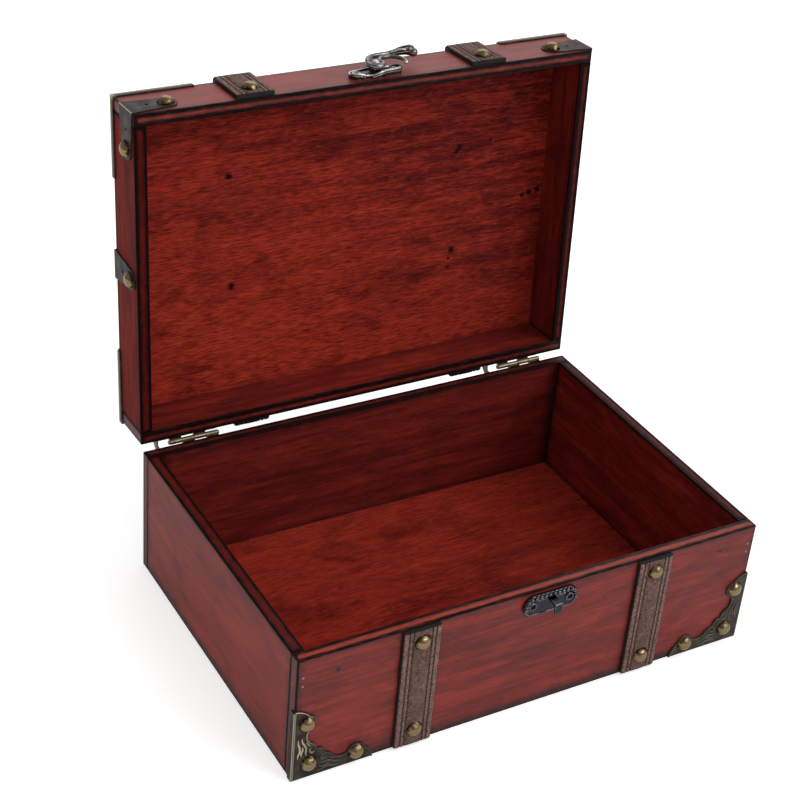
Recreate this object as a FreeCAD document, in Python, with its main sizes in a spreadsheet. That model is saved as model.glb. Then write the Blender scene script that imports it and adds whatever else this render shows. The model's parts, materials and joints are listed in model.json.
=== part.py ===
import FreeCAD, Part
import math
import os
import re
import Sketcher

# A shallow trunk-style wooden storage box with its lid open.
# Frame: the origin is the middle of the underside, +X the box's right, +Y its hinged back, +Z up.
# Every piece of the lid is drawn on the closed box and turned open about the hinge axis by its Placement.

DIMENSIONS = {
    # carcass of butt-jointed boards with panels let into rabbets
    "box_width": 280,
    "box_depth": 194,
    "base_height": 78,
    "lid_height": 30,
    "board_thickness": 7,
    "panel_thickness": 3,
    "rabbet_depth": 4,
    "edge_rounding": 0.6,
    "lid_gap": 0.3,
    "open_angle": 93,
    # padded leather straps
    "strap_width": 22,
    "strap_thickness": 2.6,
    "strap_rounding": 1,
    "strap_rim_gap": 1,
    "strap_hinge_gap": 4,
    "strap_foot_gap": 1,
    "strap_stud_margin": 8,
    "strap_foot_stud_margin": 10.5,
    # dome studs, headless brads, plate tacks and hinge screws
    "stud_head_radius": 4.75,
    "stud_head_height": 3.4,
    "stud_shank_radius": 0.8,
    "brad_radius": 0.75,
    "brad_length": 16,
    "brad_rim_margin": 11.6,
    "brad_pitch": 5.5,
    "bottom_brad_inset": 30,
    "bottom_brad_sink": 0.4,
    "bottom_brad_length": 10,
    "lid_brad_height": 9,
    "tack_head_radius": 1.5,
    "tack_head_height": 0.4,
    "tack_shank_radius": 0.7,
    "screw_head_radius": 1.7,
    "screw_head_height": 0.7,
    "screw_shank_radius": 0.9,
    "nail_cover": 1.5,
    "nail_clearance": 0.05,
    # pressed corner brackets
    "bracket_leg": 46,
    "bracket_thickness": 0.8,
    "bracket_flange": 3,
    "bracket_flange_setback": 1,
    "bracket_foot_gap": 0.3,
    "bracket_corner_inset": 9,
    "bracket_stud_reach": 36,
    "bracket_stud_margin": 7,
    "bracket_waist": 8.5,
    "bracket_tip_bow": 1,
    "bracket_lobe": 5,
    "bracket_lobe_bow": 3.8,
    "bracket_dip": 1.5,
    "bracket_shoulder": 23,
    "bracket_shoulder_width": 9.5,
    "bracket_shoulder_bow": 0.8,
    "bracket_core_far": 17.5,
    "bracket_core_near": 13.5,
    "bracket_core_bow": 1.7,
    # folded angles with tongue-shaped legs
    "angle_length": 27.5,
    "angle_width": 17,
    "angle_tip_radius": 6,
    "angle_thickness": 0.8,
    "angle_rim_gap": 1.2,
    "angle_hole_reach": 11,
    "angle_hole_radius": 0.9,
    "side_angle_rim_gap": 2.5,
    "side_angle_shift": 1.5,
    # butt hinges with stop ears
    "hinge_inset": 31.5,
    "hinge_offset": 2.4,
    "hinge_strap_gap": 4.3,
    "barrel_length": 29,
    "barrel_radius": 1.4,
    "knuckle_gap": 0.3,
    "knuckle_play": 0.4,
    "leaf_height": 13,
    "leaf_thickness": 1,
    "leaf_screw_margin": 4.5,
    "leaf_screw_drop": 6.5,
    "hinge_pin_radius": 0.65,
    "hinge_pin_clearance": 0.05,
    "hinge_pin_head_radius": 1.1,
    "hinge_pin_head_length": 0.5,
    "ear_reach": 7.2,
    "ear_thickness": 0.9,
    "ear_root": 2,
    "ear_radius": 6,
    "ear_depth": 5,
    "ear_foot": 1.5,
    "ear_stop_margin": 1,
    # swinging hook on the lid
    "latch_shift": 2.9,
    "pivot_height": 8.3,
    "hook_plate_thickness": 2.2,
    "hook_plate_middle_radius": 6.5,
    "hook_plate_end_radius": 4.2,
    "hook_plate_neck": 6,
    "hook_plate_hole_spacing": 23.4,
    "hook_boss_radius": 3,
    "hook_boss_height": 2.6,
    "hook_lift": 0.2,
    "hook_thickness": 2.4,
    "hook_hub_radius": 5.5,
    "hook_rivet_radius": 1.6,
    "hook_rivet_clearance": 0.05,
    "hook_rivet_head_radius": 2.3,
    "hook_rivet_head_height": 1,
    "hook_rivet_play": 0.2,
    "prong_bend_reach": 11,
    "prong_bend_rise": 1,
    "prong_bend_radius": 7.4,
    "prong_root_angle": 165,
    "prong_tip_angle": -30,
    "neck_rod_radius": 1.7,
    "neck_bend_reach": 8.2,
    "neck_bend_drop": 1.1,
    "neck_bend_radius": 12.1,
    "neck_root_angle": 155,
    "ball_radius": 3.6,
    "ball_reach": 26.5,
    "ball_rise": 9.2,
    "ball_lift": 1.4,
    # catch plate with its bent keeper on the base
    "catch_shift": 5.4,
    "catch_height": 13,
    "catch_thickness": 1.6,
    "catch_hole_spacing": 22.7,
    "catch_end_margin": 5.3,
    "catch_keeper_rise": 2.15,
    "keeper_width": 5.4,
    "keeper_wall": 1.2,
    "keeper_drop": 5.6,
    "hook_play": 0.3,
    # raised rings round the plate holes
    "hole_ring_radius": 2.2,
    "hole_ring_rod": 0.5,
}

Vector = FreeCAD.Vector
Rotation = FreeCAD.Rotation
Placement = FreeCAD.Placement

doc = FreeCAD.newDocument("storage_box")
sheet = doc.addObject("Spreadsheet::Sheet", "sizes")
for row, (alias, number) in enumerate(DIMENSIONS.items(), start=1):
    sheet.set("A%d" % row, alias)
    sheet.set("B%d" % row, str(number))
    sheet.setAlias("B%d" % row, alias)
doc.recompute()

nodes = {}
drills = {}


# Helpers that read the sheet

def on_sheet(text):
    """Point each size named in an expression at its cell."""
    def cell(word):
        name = word.group()
        return "sizes." + name if name in DIMENSIONS else name
    return re.sub(r"[a-z_]+", cell, text)


def size(text):
    """The number that an expression on the sheet comes to."""
    return float(sheet.evalExpression(on_sheet(text)))


def bind(thing, **sizes):
    """Tie properties to the sheet; base_x, base_y and base_z stand for the Placement's position."""
    for name, text in sizes.items():
        path = name
        if name.startswith("base_"):
            path = "Placement.Base." + name[-1]
        thing.setExpression(path, on_sheet(text))


def keep(thing, label, placement=None):
    """Take an object as the finished piece of this name."""
    thing.Label = label
    if placement is not None:
        thing.Placement = placement
    nodes[label] = thing
    return thing


# Places that many pieces share

LID_RIM = "(base_height + lid_gap)"
LID_TOP = "(base_height + lid_gap + lid_height)"
AXIS_Y = "(box_depth / 2 + hinge_offset)"
AXIS_Z = "(base_height + lid_gap / 2)"
KNUCKLE = "((barrel_length - 3 * knuckle_gap) / 4)"
LEAF_CLEAR = "(barrel_radius + knuckle_play)"
STRAP_X = "(box_width / 2 - hinge_inset - barrel_length / 2 - ear_reach - hinge_strap_gap - strap_width / 2)"
HOOK_FLOOR = "(hook_plate_thickness + hook_boss_height + hook_lift)"
PRONG_ROD = "(hook_thickness / 2)"

SIDES = {"left": -1, "right": 1}

hinge_axis = Vector(0, size(AXIS_Y), size(AXIS_Z))
lid_open = Placement(Vector(0, 0, 0), Rotation(Vector(1, 0, 0), -size("open_angle")), hinge_axis)
half_width = size("box_width / 2")
half_depth = size("box_depth / 2")
lid_rim = size(LID_RIM)
lid_top = size(LID_TOP)
strap_x = size(STRAP_X)
board_depth = size("board_thickness - nail_cover")
panel_depth = size("panel_thickness - nail_cover")

FRONT = Vector(0, -1, 0)
BACK = Vector(0, 1, 0)
UP = Vector(0, 0, 1)
DOWN = Vector(0, 0, -1)
TO_SIDE = {"left": Vector(-1, 0, 0), "right": Vector(1, 0, 0)}


def on_front(x, z):
    """A flat piece drawn in its own XY plane, laid on the front with its thickness outwards."""
    return Placement(Vector(x, -half_depth, z), Rotation(Vector(1, 0, 0), 90))


def on_back(x, z):
    """A flat piece laid on the back with its thickness outwards."""
    return Placement(Vector(x, half_depth, z), Rotation(Vector(-1, 0, 0), UP, BACK, "ZXY"))


# Solids from primitives

def block(name, corner, sides):
    """A box from its lowest corner and its three sides."""
    box = doc.addObject("Part::Box", name)
    bind(box, base_x=corner[0], base_y=corner[1], base_z=corner[2])
    bind(box, Length=sides[0], Width=sides[1], Height=sides[2])
    return box


def disc(name, centre, radius, height, along="z"):
    """A cylinder that starts at its centre and runs along Z or X."""
    cylinder = doc.addObject("Part::Cylinder", name)
    if along == "x":
        cylinder.Placement = Placement(Vector(0, 0, 0), Rotation(Vector(0, 1, 0), 90))
    bind(cylinder, Radius=radius, Height=height)
    bind(cylinder, base_x=centre[0], base_y=centre[1], base_z=centre[2])
    return cylinder


def ball(name, centre, radius):
    sphere = doc.addObject("Part::Sphere", name)
    bind(sphere, Radius=radius, base_x=centre[0], base_y=centre[1], base_z=centre[2])
    return sphere


def bent_rod(name, centre, bend_radius, rod_radius, start_angle, sweep):
    """A round rod bent in the XY plane: part of a torus that starts at an angle and runs on for its sweep."""
    torus = doc.addObject("Part::Torus", name)
    torus.Placement = Placement(Vector(0, 0, 0), Rotation(UP, start_angle))
    bind(torus, Radius1=bend_radius, Radius2=rod_radius, Angle3=sweep)
    bind(torus, base_x=centre[0], base_y=centre[1], base_z=centre[2])
    return torus


def union(name, solids):
    fused = doc.addObject("Part::MultiFuse", name)
    fused.Shapes = solids
    fused.Refine = True
    return fused


def carve(solid, tools):
    """Cut a list of tools from a solid, one after another."""
    for tool in tools:
        cut = doc.addObject("Part::Cut", solid.Name + "_cut")
        cut.Base = solid
        cut.Tool = tool
        solid = cut
    return solid


# Sketches and sheet pieces

def sketch_on(body, name, role, offset=None):
    """An empty sketch on one of the body's own planes, lifted off it where an offset is given."""
    sketch = body.newObject("Sketcher::SketchObject", name)
    plane = [feature for feature in body.Origin.OriginFeatures if feature.Role == role][0]
    sketch.AttachmentSupport = [(plane, "")]
    sketch.MapMode = "FlatFace"
    if offset is not None:
        sketch.setExpression("AttachmentOffset.Base.z", on_sheet(offset))
    return sketch


def outline(sketch, corners):
    """Draw a closed outline, counter-clockwise. A corner is (x, y) or (x, y, bow): bow is how far the
    stretch to the next corner swells outwards, or inwards where it is negative."""
    count = len(corners)
    points = [Vector(size(corner[0]), size(corner[1]), 0) for corner in corners]
    ends = []
    for index, corner in enumerate(corners):
        start = points[index]
        end = points[(index + 1) % count]
        if len(corner) == 2:
            sketch.addGeometry(Part.LineSegment(start, end))
            ends.append((1, 2))
            continue
        bow = size(corner[2])
        chord = end.sub(start)
        radius = chord.Length ** 2 / (8 * abs(bow)) + abs(bow) / 2
        outwards = Vector(chord.y, -chord.x, 0).normalize()
        middle = start.add(end).multiply(0.5)
        centre = middle.add(outwards.multiply(math.copysign(1, bow) * (abs(bow) - radius)))
        first = start if bow > 0 else end
        last = end if bow > 0 else start
        angle_first = math.atan2(first.y - centre.y, first.x - centre.x)
        angle_last = math.atan2(last.y - centre.y, last.x - centre.x)
        circle = Part.Circle(centre, UP, radius)
        arc = sketch.addGeometry(Part.ArcOfCircle(circle, angle_first, angle_last))
        ends.append((1, 2) if bow > 0 else (2, 1))
        follow = corners[(index + 1) % count]
        across = "((%s) - (%s)) ^ 2 + ((%s) - (%s)) ^ 2" % (follow[0], corner[0], follow[1], corner[1])
        rise = "abs(%s)" % corner[2]
        limit = sketch.addConstraint(Sketcher.Constraint("Radius", arc, radius))
        bend = "(%s) / (8 * %s) + %s / 2" % (across, rise, rise)
        sketch.setExpression("Constraints[%d]" % limit, on_sheet(bend))
    for index, corner in enumerate(corners):
        start_end = ends[index][0]
        behind = (index - 1) % count
        sketch.addConstraint(Sketcher.Constraint("Coincident", behind, ends[behind][1], index, start_end))
        for kind, text in (("DistanceX", corner[0]), ("DistanceY", corner[1])):
            place = sketch.addConstraint(Sketcher.Constraint(kind, -1, 1, index, start_end, size(text)))
            sketch.setExpression("Constraints[%d]" % place, on_sheet(text))


def pad(body, name, sketch, length, reversed_way=False):
    feature = body.newObject("PartDesign::Pad", name)
    feature.Profile = sketch
    feature.Reversed = reversed_way
    bind(feature, Length=length)
    return feature


def rectangle(x_low, y_low, x_high, y_high):
    return [(x_low, y_low), (x_high, y_low), (x_high, y_high), (x_low, y_high)]


# Fasteners

def nail_shape(kind, depth):
    """A nail on the Z axis that seats at zero: a domed head above it and a round shank below."""
    if kind == "brad":
        return Part.makeCylinder(size("brad_radius"), depth, Vector(0, 0, -depth))
    head = size(kind + "_head_radius")
    rise = size(kind + "_head_height")
    shank = size(kind + "_shank_radius")
    middle = head * math.sin(math.pi / 4)
    dome_radius = (head ** 2 + rise ** 2) / (2 * rise)
    middle_height = rise - dome_radius + math.sqrt(dome_radius ** 2 - middle ** 2)
    rim = Vector(head, 0, 0)
    top = Vector(0, 0, rise)
    dome = Part.Arc(rim, Vector(middle, 0, middle_height), top).toShape()
    flat = Part.makePolygon([top, Vector(0, 0, -depth), Vector(shank, 0, -depth), Vector(shank, 0, 0), rim])
    profile = Part.Face(Part.Wire([dome] + flat.Edges))
    return profile.revolve(Vector(0, 0, 0), UP, 360)


def fasteners(label, kind, seats, placement=None):
    """A group of like nails as separate solids, and the pilot holes that clear their shanks.
    A seat is the point under the head, the way the head faces and the depth of the shank."""
    shank = size("brad_radius") if kind == "brad" else size(kind + "_shank_radius")
    bore = shank + size("nail_clearance")
    nails = []
    holes = []
    for point, outwards, depth in seats:
        place = Placement(point, Rotation(UP, outwards))
        nail = nail_shape(kind, depth)
        nail.Placement = place
        nails.append(nail)
        hole = Part.makeCylinder(bore, 2 * depth, Vector(0, 0, -depth - size("nail_clearance")))
        hole.Placement = place
        holes.append(hole)
    group = doc.addObject("Part::Feature", label)
    group.Shape = Part.makeCompound(nails)
    keep(group, label, placement)
    drill = doc.addObject("Part::Feature", label + "_holes")
    drill.Shape = Part.makeCompound(holes)
    drills[label] = drill


def place_fasteners():
    """Every nail, stud and screw, from the pieces that it holds."""
    strap_depth = size("strap_thickness") + board_depth
    strap_face = half_depth + size("strap_thickness")
    foot_height = size("strap_foot_gap + strap_foot_stud_margin")
    base_strap_seats = []
    lid_strap_seats = []
    for side in SIDES.values():
        x = side * strap_x
        lid_height = size(LID_RIM + " + strap_rim_gap + strap_stud_margin")
        for outwards, end_gap in ((FRONT, "strap_rim_gap"), (BACK, "strap_hinge_gap")):
            wall = outwards.y * strap_face
            for height in (foot_height, size("base_height - %s - strap_stud_margin" % end_gap)):
                base_strap_seats.append((Vector(x, wall, height), outwards, strap_depth))
            lid_strap_seats.append((Vector(x, wall, lid_height), outwards, strap_depth))
            inner = outwards.y * size("box_depth / 2 - strap_stud_margin")
            top = Vector(x, inner, size(LID_TOP + " + strap_thickness"))
            lid_strap_seats.append((top, UP, size("strap_thickness") + panel_depth))
    fasteners("base_strap_studs", "stud", base_strap_seats)
    fasteners("lid_strap_studs", "stud", lid_strap_seats, lid_open)

    inset = size("bracket_corner_inset")
    reach = size("bracket_stud_reach")
    margin = size("bracket_stud_margin")
    bracket_plan = ((inset, inset), (reach, margin), (margin, reach))
    sheet_metal = size("bracket_thickness")
    base_bracket_seats = []
    lid_bracket_seats = []
    for side in SIDES.values():
        for along, across in bracket_plan:
            x = side * (half_width - along)
            front = Vector(x, -half_depth - sheet_metal, across + size("bracket_foot_gap"))
            base_bracket_seats.append((front, FRONT, sheet_metal + board_depth))
            for end in (-1, 1):
                top = Vector(x, end * (half_depth - across), lid_top + sheet_metal)
                lid_bracket_seats.append((top, UP, sheet_metal + panel_depth))
    fasteners("base_bracket_studs", "stud", base_bracket_seats)
    fasteners("lid_bracket_studs", "stud", lid_bracket_seats, lid_open)

    metal = size("angle_thickness")
    stud_reach = size("angle_length - angle_tip_radius")
    corner_height = size(LID_RIM + " + angle_rim_gap + angle_width / 2")
    side_height = size(LID_RIM + " + side_angle_rim_gap + angle_tip_radius")
    side_shift = size("side_angle_shift")
    angle_seats = []
    for name, side in SIDES.items():
        wall = side * (half_width + metal)
        front = Vector(side * (half_width - stud_reach), -half_depth - metal, corner_height)
        angle_seats.append((front, FRONT, metal + board_depth))
        flank = Vector(wall, -half_depth + stud_reach, corner_height)
        angle_seats.append((flank, TO_SIDE[name], metal + board_depth))
        middle = Vector(wall, -side_shift, side_height)
        angle_seats.append((middle, TO_SIDE[name], metal + board_depth))
        top = Vector(side * (half_width - stud_reach), -side_shift, lid_top + metal)
        angle_seats.append((top, UP, metal + panel_depth))
    fasteners("lid_angle_studs", "stud", angle_seats, lid_open)

    end_x = size("(box_width - board_thickness) / 2")
    brad_length = size("brad_length")
    base_brad_seats = []
    lid_brad_seats = []
    for side in SIDES.values():
        for outwards in (FRONT, BACK):
            wall = outwards.y * half_depth
            for step in range(2):
                height = size("base_height - brad_rim_margin") - step * size("brad_pitch")
                base_brad_seats.append((Vector(side * end_x, wall, height), outwards, brad_length))
            height = size(LID_RIM + " + lid_brad_height")
            lid_brad_seats.append((Vector(side * end_x, wall, height), outwards, brad_length))
    fasteners("base_board_brads", "brad", base_brad_seats)
    fasteners("lid_board_brads", "brad", lid_brad_seats, lid_open)

    rabbet_x = size("box_width / 2 - board_thickness + rabbet_depth / 2")
    rabbet_y = size("box_depth / 2 - board_thickness + rabbet_depth / 2")
    brad_inset = size("bottom_brad_inset")
    sink = size("bottom_brad_sink")
    bottom_seats = []
    for side in SIDES.values():
        for x in (brad_inset - half_width, 0, half_width - brad_inset):
            bottom_seats.append((Vector(x, side * rabbet_y, sink), DOWN, size("bottom_brad_length")))
        for y in (brad_inset - half_depth, half_depth - brad_inset):
            bottom_seats.append((Vector(side * rabbet_x, y, sink), DOWN, size("bottom_brad_length")))
    fasteners("bottom_panel_brads", "brad", bottom_seats)

    hook_seats = []
    catch_seats = []
    for side in SIDES.values():
        x = size("latch_shift") + side * size("hook_plate_hole_spacing / 2")
        plate = size("hook_plate_thickness")
        hook_seats.append((Vector(x, -half_depth - plate, pivot_z()), FRONT, plate + board_depth))
        x = size("catch_shift") + side * size("catch_hole_spacing / 2")
        plate = size("catch_thickness")
        catch_seats.append((Vector(x, -half_depth - plate, catch_z()), FRONT, plate + board_depth))
    fasteners("hook_plate_tacks", "tack", hook_seats, lid_open)
    fasteners("catch_plate_tacks", "tack", catch_seats)

    leaf = size("leaf_thickness")
    face = half_depth + leaf
    screw_rows = {"base": size(AXIS_Z + " - " + LEAF_CLEAR + " - leaf_screw_drop"),
                  "lid": size(AXIS_Z + " + " + LEAF_CLEAR + " + leaf_screw_drop")}
    for part, height in screw_rows.items():
        seats = []
        for side in SIDES.values():
            middle = side * size("box_width / 2 - hinge_inset")
            low = middle - size("barrel_length / 2 + ear_reach - leaf_screw_margin")
            high = middle + size("barrel_length / 2 - leaf_screw_margin")
            for x in (low, (low + high) / 2, high):
                seats.append((Vector(x, face, height), BACK, leaf + board_depth))
        fasteners(part + "_hinge_screws", "screw", seats, lid_open if part == "lid" else None)


# Latch heights, from the hook that has to pass under the keeper

def pivot_z():
    return size(LID_RIM + " + pivot_height")


def keeper_underside():
    """Height of the keeper's underside: its outer corner just clears the inside of the hooked prong."""
    inside = size("prong_bend_radius - " + PRONG_ROD + " - hook_play")
    corner = size("catch_shift - latch_shift + keeper_width / 2 - prong_bend_rise")
    return pivot_z() - size("prong_bend_reach") - math.sqrt(inside ** 2 - corner ** 2)


def catch_z():
    return keeper_underside() - size("catch_keeper_rise")


# Boards and panels

def board(label, corner, sides, tools, placement=None):
    """A board with eased edges, less the rabbet for its panel and the holes for its nails."""
    plank = block(label + "_plank", corner, sides)
    doc.recompute()
    eased = doc.addObject("Part::Fillet", label + "_eased")
    eased.Base = plank
    radius = size("edge_rounding")
    eased.Edges = [(number + 1, radius, radius) for number in range(len(plank.Shape.Edges))]
    keep(carve(eased, tools), label, placement)


def carcass(part, foot, height, panel_label, panel_foot, placement, nails):
    """Four boards and the panel let into them, for the base or the lid, drilled for the nails of each."""
    side_length = "box_depth - 2 * board_thickness"
    panel_corner = ("board_thickness - rabbet_depth - box_width / 2",
                    "board_thickness - rabbet_depth - box_depth / 2", panel_foot)
    panel_sides = ("box_width - 2 * board_thickness + 2 * rabbet_depth",
                   "box_depth - 2 * board_thickness + 2 * rabbet_depth", "panel_thickness")
    rabbet = block(part + "_rabbet", panel_corner, panel_sides)
    long_sides = ("box_width", "board_thickness", height)
    short_sides = ("board_thickness", side_length, height)
    behind_front = "board_thickness - box_depth / 2"
    fits = {
        "front": (("-box_width / 2", "-box_depth / 2", foot), long_sides, "front"),
        "back": (("-box_width / 2", "box_depth / 2 - board_thickness", foot), long_sides, "back"),
        "left": (("-box_width / 2", behind_front, foot), short_sides, "sides"),
        "right": (("box_width / 2 - board_thickness", behind_front, foot), short_sides, "sides"),
    }
    for name, (corner, sides, group) in fits.items():
        tools = [rabbet] + [drills[nail] for nail in nails[group]]
        board(part + "_" + name + "_board", corner, sides, tools, placement)
    panel = block(panel_label + "_blank", panel_corner, panel_sides)
    keep(carve(panel, [drills[nail] for nail in nails["panel"]]), panel_label, placement)


# Straps

def base_strap(label, end_gap, placement):
    """A strap on the front or the back, which stops short of the rim."""
    body = doc.addObject("PartDesign::Body", label + "_body")
    sketch = sketch_on(body, label + "_outline", "XY_Plane")
    rim_end = "base_height - " + end_gap
    outline(sketch, rectangle("-strap_width / 2", "strap_foot_gap", "strap_width / 2", rim_end))
    strip = pad(body, label + "_pad", sketch, "strap_thickness")
    doc.recompute()
    face_edges = []
    for number, edge in enumerate(strip.Shape.Edges, start=1):
        if edge.BoundBox.ZMin > size("strap_thickness / 2"):
            face_edges.append("Edge%d" % number)
    rounding = body.newObject("PartDesign::Fillet", label + "_rounding")
    rounding.Base = (strip, face_edges)
    bind(rounding, Radius="strap_rounding")
    body.Placement = placement
    keep(carve(body, [drills["base_strap_studs"]]), label)


def lid_strap(label, x):
    """A strap that runs up the lid's front, over its top and down its back."""
    body = doc.addObject("PartDesign::Body", label + "_body")
    sketch = sketch_on(body, label + "_outline", "YZ_Plane")
    wall = "box_depth / 2"
    face = "box_depth / 2 + strap_thickness"
    foot = LID_RIM + " + strap_rim_gap"
    crown = LID_TOP + " + strap_thickness"
    fold = "strap_thickness * (1 - sqrt(0.5))"
    outline(sketch, [
        ("-(%s)" % face, foot), ("-(%s)" % wall, foot), ("-(%s)" % wall, LID_TOP), (wall, LID_TOP),
        (wall, foot), (face, foot), (face, LID_TOP, fold), (wall, crown), ("-(%s)" % wall, crown, fold),
        ("-(%s)" % face, LID_TOP)])
    strip = pad(body, label + "_pad", sketch, "strap_width")
    strip.SideType = "Symmetric"
    body.Placement = Placement(Vector(x, 0, 0), Rotation())
    keep(carve(body, [drills["lid_strap_studs"]]), label, lid_open)


# Pressed corner brackets

def bracket_outline():
    """A bracket with its corner at the origin and a leg along each axis, the same about its diagonal."""
    leg = [
        ("bracket_leg", "0", "bracket_tip_bow"),
        ("bracket_stud_reach + bracket_lobe", "bracket_waist", "bracket_lobe_bow"),
        ("bracket_stud_reach - bracket_lobe", "bracket_waist", "-bracket_dip"),
        ("bracket_shoulder", "bracket_shoulder_width", "bracket_shoulder_bow"),
        ("bracket_core_far", "bracket_core_near", "bracket_core_bow"),
    ]
    other_leg = []
    for number in range(len(leg) - 1, -1, -1):
        corner = (leg[number][1], leg[number][0])
        if number > 0:
            corner = corner + (leg[number - 1][2],)
        other_leg.append(corner)
    return [("0", "0")] + leg + other_leg


def bracket(label, flanges, placement, drill, lid=None):
    """A pressed corner with a narrow flange folded back along each named edge."""
    body = doc.addObject("PartDesign::Body", label + "_body")
    sketch = sketch_on(body, label + "_outline", "XY_Plane")
    outline(sketch, bracket_outline())
    pad(body, label + "_plate", sketch, "bracket_thickness")
    foot = "-bracket_flange"
    turned_out = "-bracket_thickness"
    reach = "bracket_leg - bracket_flange_setback"
    edges = {
        "upright": rectangle(turned_out, "0", "0", reach),
        "level": rectangle("0", turned_out, reach, "0"),
        "both": [("0", reach), (turned_out, reach), (turned_out, turned_out), (reach, turned_out), (reach, "0"),
                 ("0", "0")],
    }
    fold = sketch_on(body, label + "_fold", "XY_Plane", foot)
    outline(fold, edges[flanges])
    pad(body, label + "_flange", fold, "bracket_flange + bracket_thickness")
    body.Placement = placement
    keep(carve(body, [drills[drill]]), label, lid)


def brackets():
    foot = size("bracket_foot_gap")
    quarter = Placement(Vector(0, 0, 0), Rotation(UP, 90))
    bracket("base_bracket_left", "upright", on_front(-half_width, foot), "base_bracket_studs")
    bracket("base_bracket_right", "level", on_front(half_width, foot).multiply(quarter), "base_bracket_studs")
    corners = {"front_left": (-1, -1), "front_right": (1, -1), "back_right": (1, 1), "back_left": (-1, 1)}
    for turns, (name, (side, end)) in enumerate(corners.items()):
        place = Placement(Vector(side * half_width, end * half_depth, lid_top), Rotation(UP, 90 * turns))
        bracket("lid_bracket_" + name, "both", place, "lid_bracket_studs", lid_open)


# Folded angles

def angle(label, leg_length, placement):
    """Two tongues folded at a right angle, each with a stud near its round tip and a small empty hole."""
    body = doc.addObject("PartDesign::Body", label + "_body")
    half = "angle_width / 2"
    tip = "angle_tip_radius"
    bow = "0.8 * angle_tip_radius"
    level = sketch_on(body, label + "_level", "XY_Plane")
    shoulder = "%s - %s" % (leg_length, bow)
    outline(level, [("0", "-" + half), (shoulder, "-" + tip, bow), (shoulder, tip), ("0", half)])
    pad(body, label + "_leg", level, "angle_thickness")
    drop = "%s - angle_length" % bow
    down = sketch_on(body, label + "_down", "YZ_Plane")
    fold = "angle_thickness"
    outline(down, [("-" + half, fold), ("-" + tip, drop, bow), (tip, drop), (half, fold)])
    pad(body, label + "_fold", down, fold, True)
    body.Placement = placement
    reach = size("angle_hole_reach")
    metal = size("angle_thickness")
    radius = size("angle_hole_radius")
    level_hole = Part.makeCylinder(radius, 4 * metal, Vector(reach, 0, -metal))
    down_hole = Part.makeCylinder(radius, 4 * metal, Vector(-2 * metal, 0, -reach), Vector(1, 0, 0))
    holes = doc.addObject("Part::Feature", label + "_holes")
    holes.Shape = Part.makeCompound([level_hole, down_hole])
    holes.Placement = placement
    keep(carve(body, [drills["lid_angle_studs"], holes]), label, lid_open)


def angles():
    height = size(LID_RIM + " + angle_rim_gap + angle_width / 2")
    half_turn = Placement(Vector(0, 0, 0), Rotation(UP, 180))
    angle("lid_corner_angle_left", "angle_length", on_front(-half_width, height))
    angle("lid_corner_angle_right", "angle_length", on_front(half_width, height).multiply(half_turn))
    for name, side in SIDES.items():
        turn = Rotation(DOWN, Vector(0, side, 0), TO_SIDE[name], "ZXY")
        place = Placement(Vector(side * half_width, -size("side_angle_shift"), lid_top), turn)
        angle("lid_side_angle_" + name, "(lid_height - side_angle_rim_gap)", place)


# Hinges

def knuckle_start(middle, number):
    return "%s - barrel_length / 2 + %d * (%s + knuckle_gap)" % (middle, number, KNUCKLE)


def hinge_leaf(label, middle, part, drill, placement):
    """A leaf on the back with two rolled knuckles and the bent ear that stops the open lid."""
    way = {"base": -1, "lid": 1}[part]
    numbers = {"base": (1, 3), "lid": (0, 2)}[part]
    left_end = "%s - barrel_length / 2 - ear_reach" % middle
    near = "%s + (%d) * %s" % (AXIS_Z, way, LEAF_CLEAR)
    plate_foot = near if way > 0 else near + " - leaf_height"
    leaf = [block(label + "_plate", (left_end, "box_depth / 2", plate_foot),
                  ("barrel_length + ear_reach", "leaf_thickness", "leaf_height"))]
    bores = []
    bore_radius = "hinge_pin_radius + hinge_pin_clearance"
    for number in numbers:
        start = knuckle_start(middle, number)
        web_foot = AXIS_Z if way > 0 else near
        web_sides = (KNUCKLE, "leaf_thickness + hinge_offset - barrel_radius", LEAF_CLEAR)
        leaf.append(block(label + "_web", (start, "box_depth / 2", web_foot), web_sides))
        leaf.append(disc(label + "_knuckle", (start, AXIS_Y, AXIS_Z), "barrel_radius", KNUCKLE, "x"))
        bores.append(disc(label + "_bore", (start, AXIS_Y, AXIS_Z), bore_radius, KNUCKLE, "x"))
    ear = doc.addObject("PartDesign::Body", label + "_ear")
    sketch = sketch_on(ear, label + "_ear_outline", "YZ_Plane", left_end)
    stop = "open_angle / 2 + ear_stop_margin"
    wall = "box_depth / 2"
    deep = "%s + (%d) * (%s + ear_depth)" % (AXIS_Z, way, LEAF_CLEAR)
    corners = [(wall, near)]
    for radius in ("ear_root", "ear_radius"):
        corners.append(("%s + %s * cos((%s) * 1 deg)" % (AXIS_Y, radius, stop),
                        "%s + (%d) * %s * sin((%s) * 1 deg)" % (AXIS_Z, way, radius, stop)))
    corners.append((AXIS_Y + " + ear_foot", deep))
    corners.append((wall, deep))
    outline(sketch, corners)
    pad(ear, label + "_ear_pad", sketch, "ear_thickness")
    leaf.append(ear)
    keep(carve(union(label + "_whole", leaf), bores + [drills[drill]]), label, placement)


def hinge_pin(label, middle):
    """A pin through all four knuckles, with a flattened head at each end."""
    start = "%s - barrel_length / 2 - knuckle_gap" % middle
    head = "hinge_pin_head_length"
    centre = (start, AXIS_Y, AXIS_Z)
    near_head = ("%s - %s" % (start, head), AXIS_Y, AXIS_Z)
    far_head = ("%s + barrel_length / 2 + knuckle_gap" % middle, AXIS_Y, AXIS_Z)
    shaft = disc(label + "_shaft", centre, "hinge_pin_radius", "barrel_length + 2 * knuckle_gap", "x")
    solids = [shaft]
    for place in (near_head, far_head):
        solids.append(disc(label + "_head", place, "hinge_pin_head_radius", head, "x"))
    keep(union(label + "_whole", solids), label)


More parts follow.
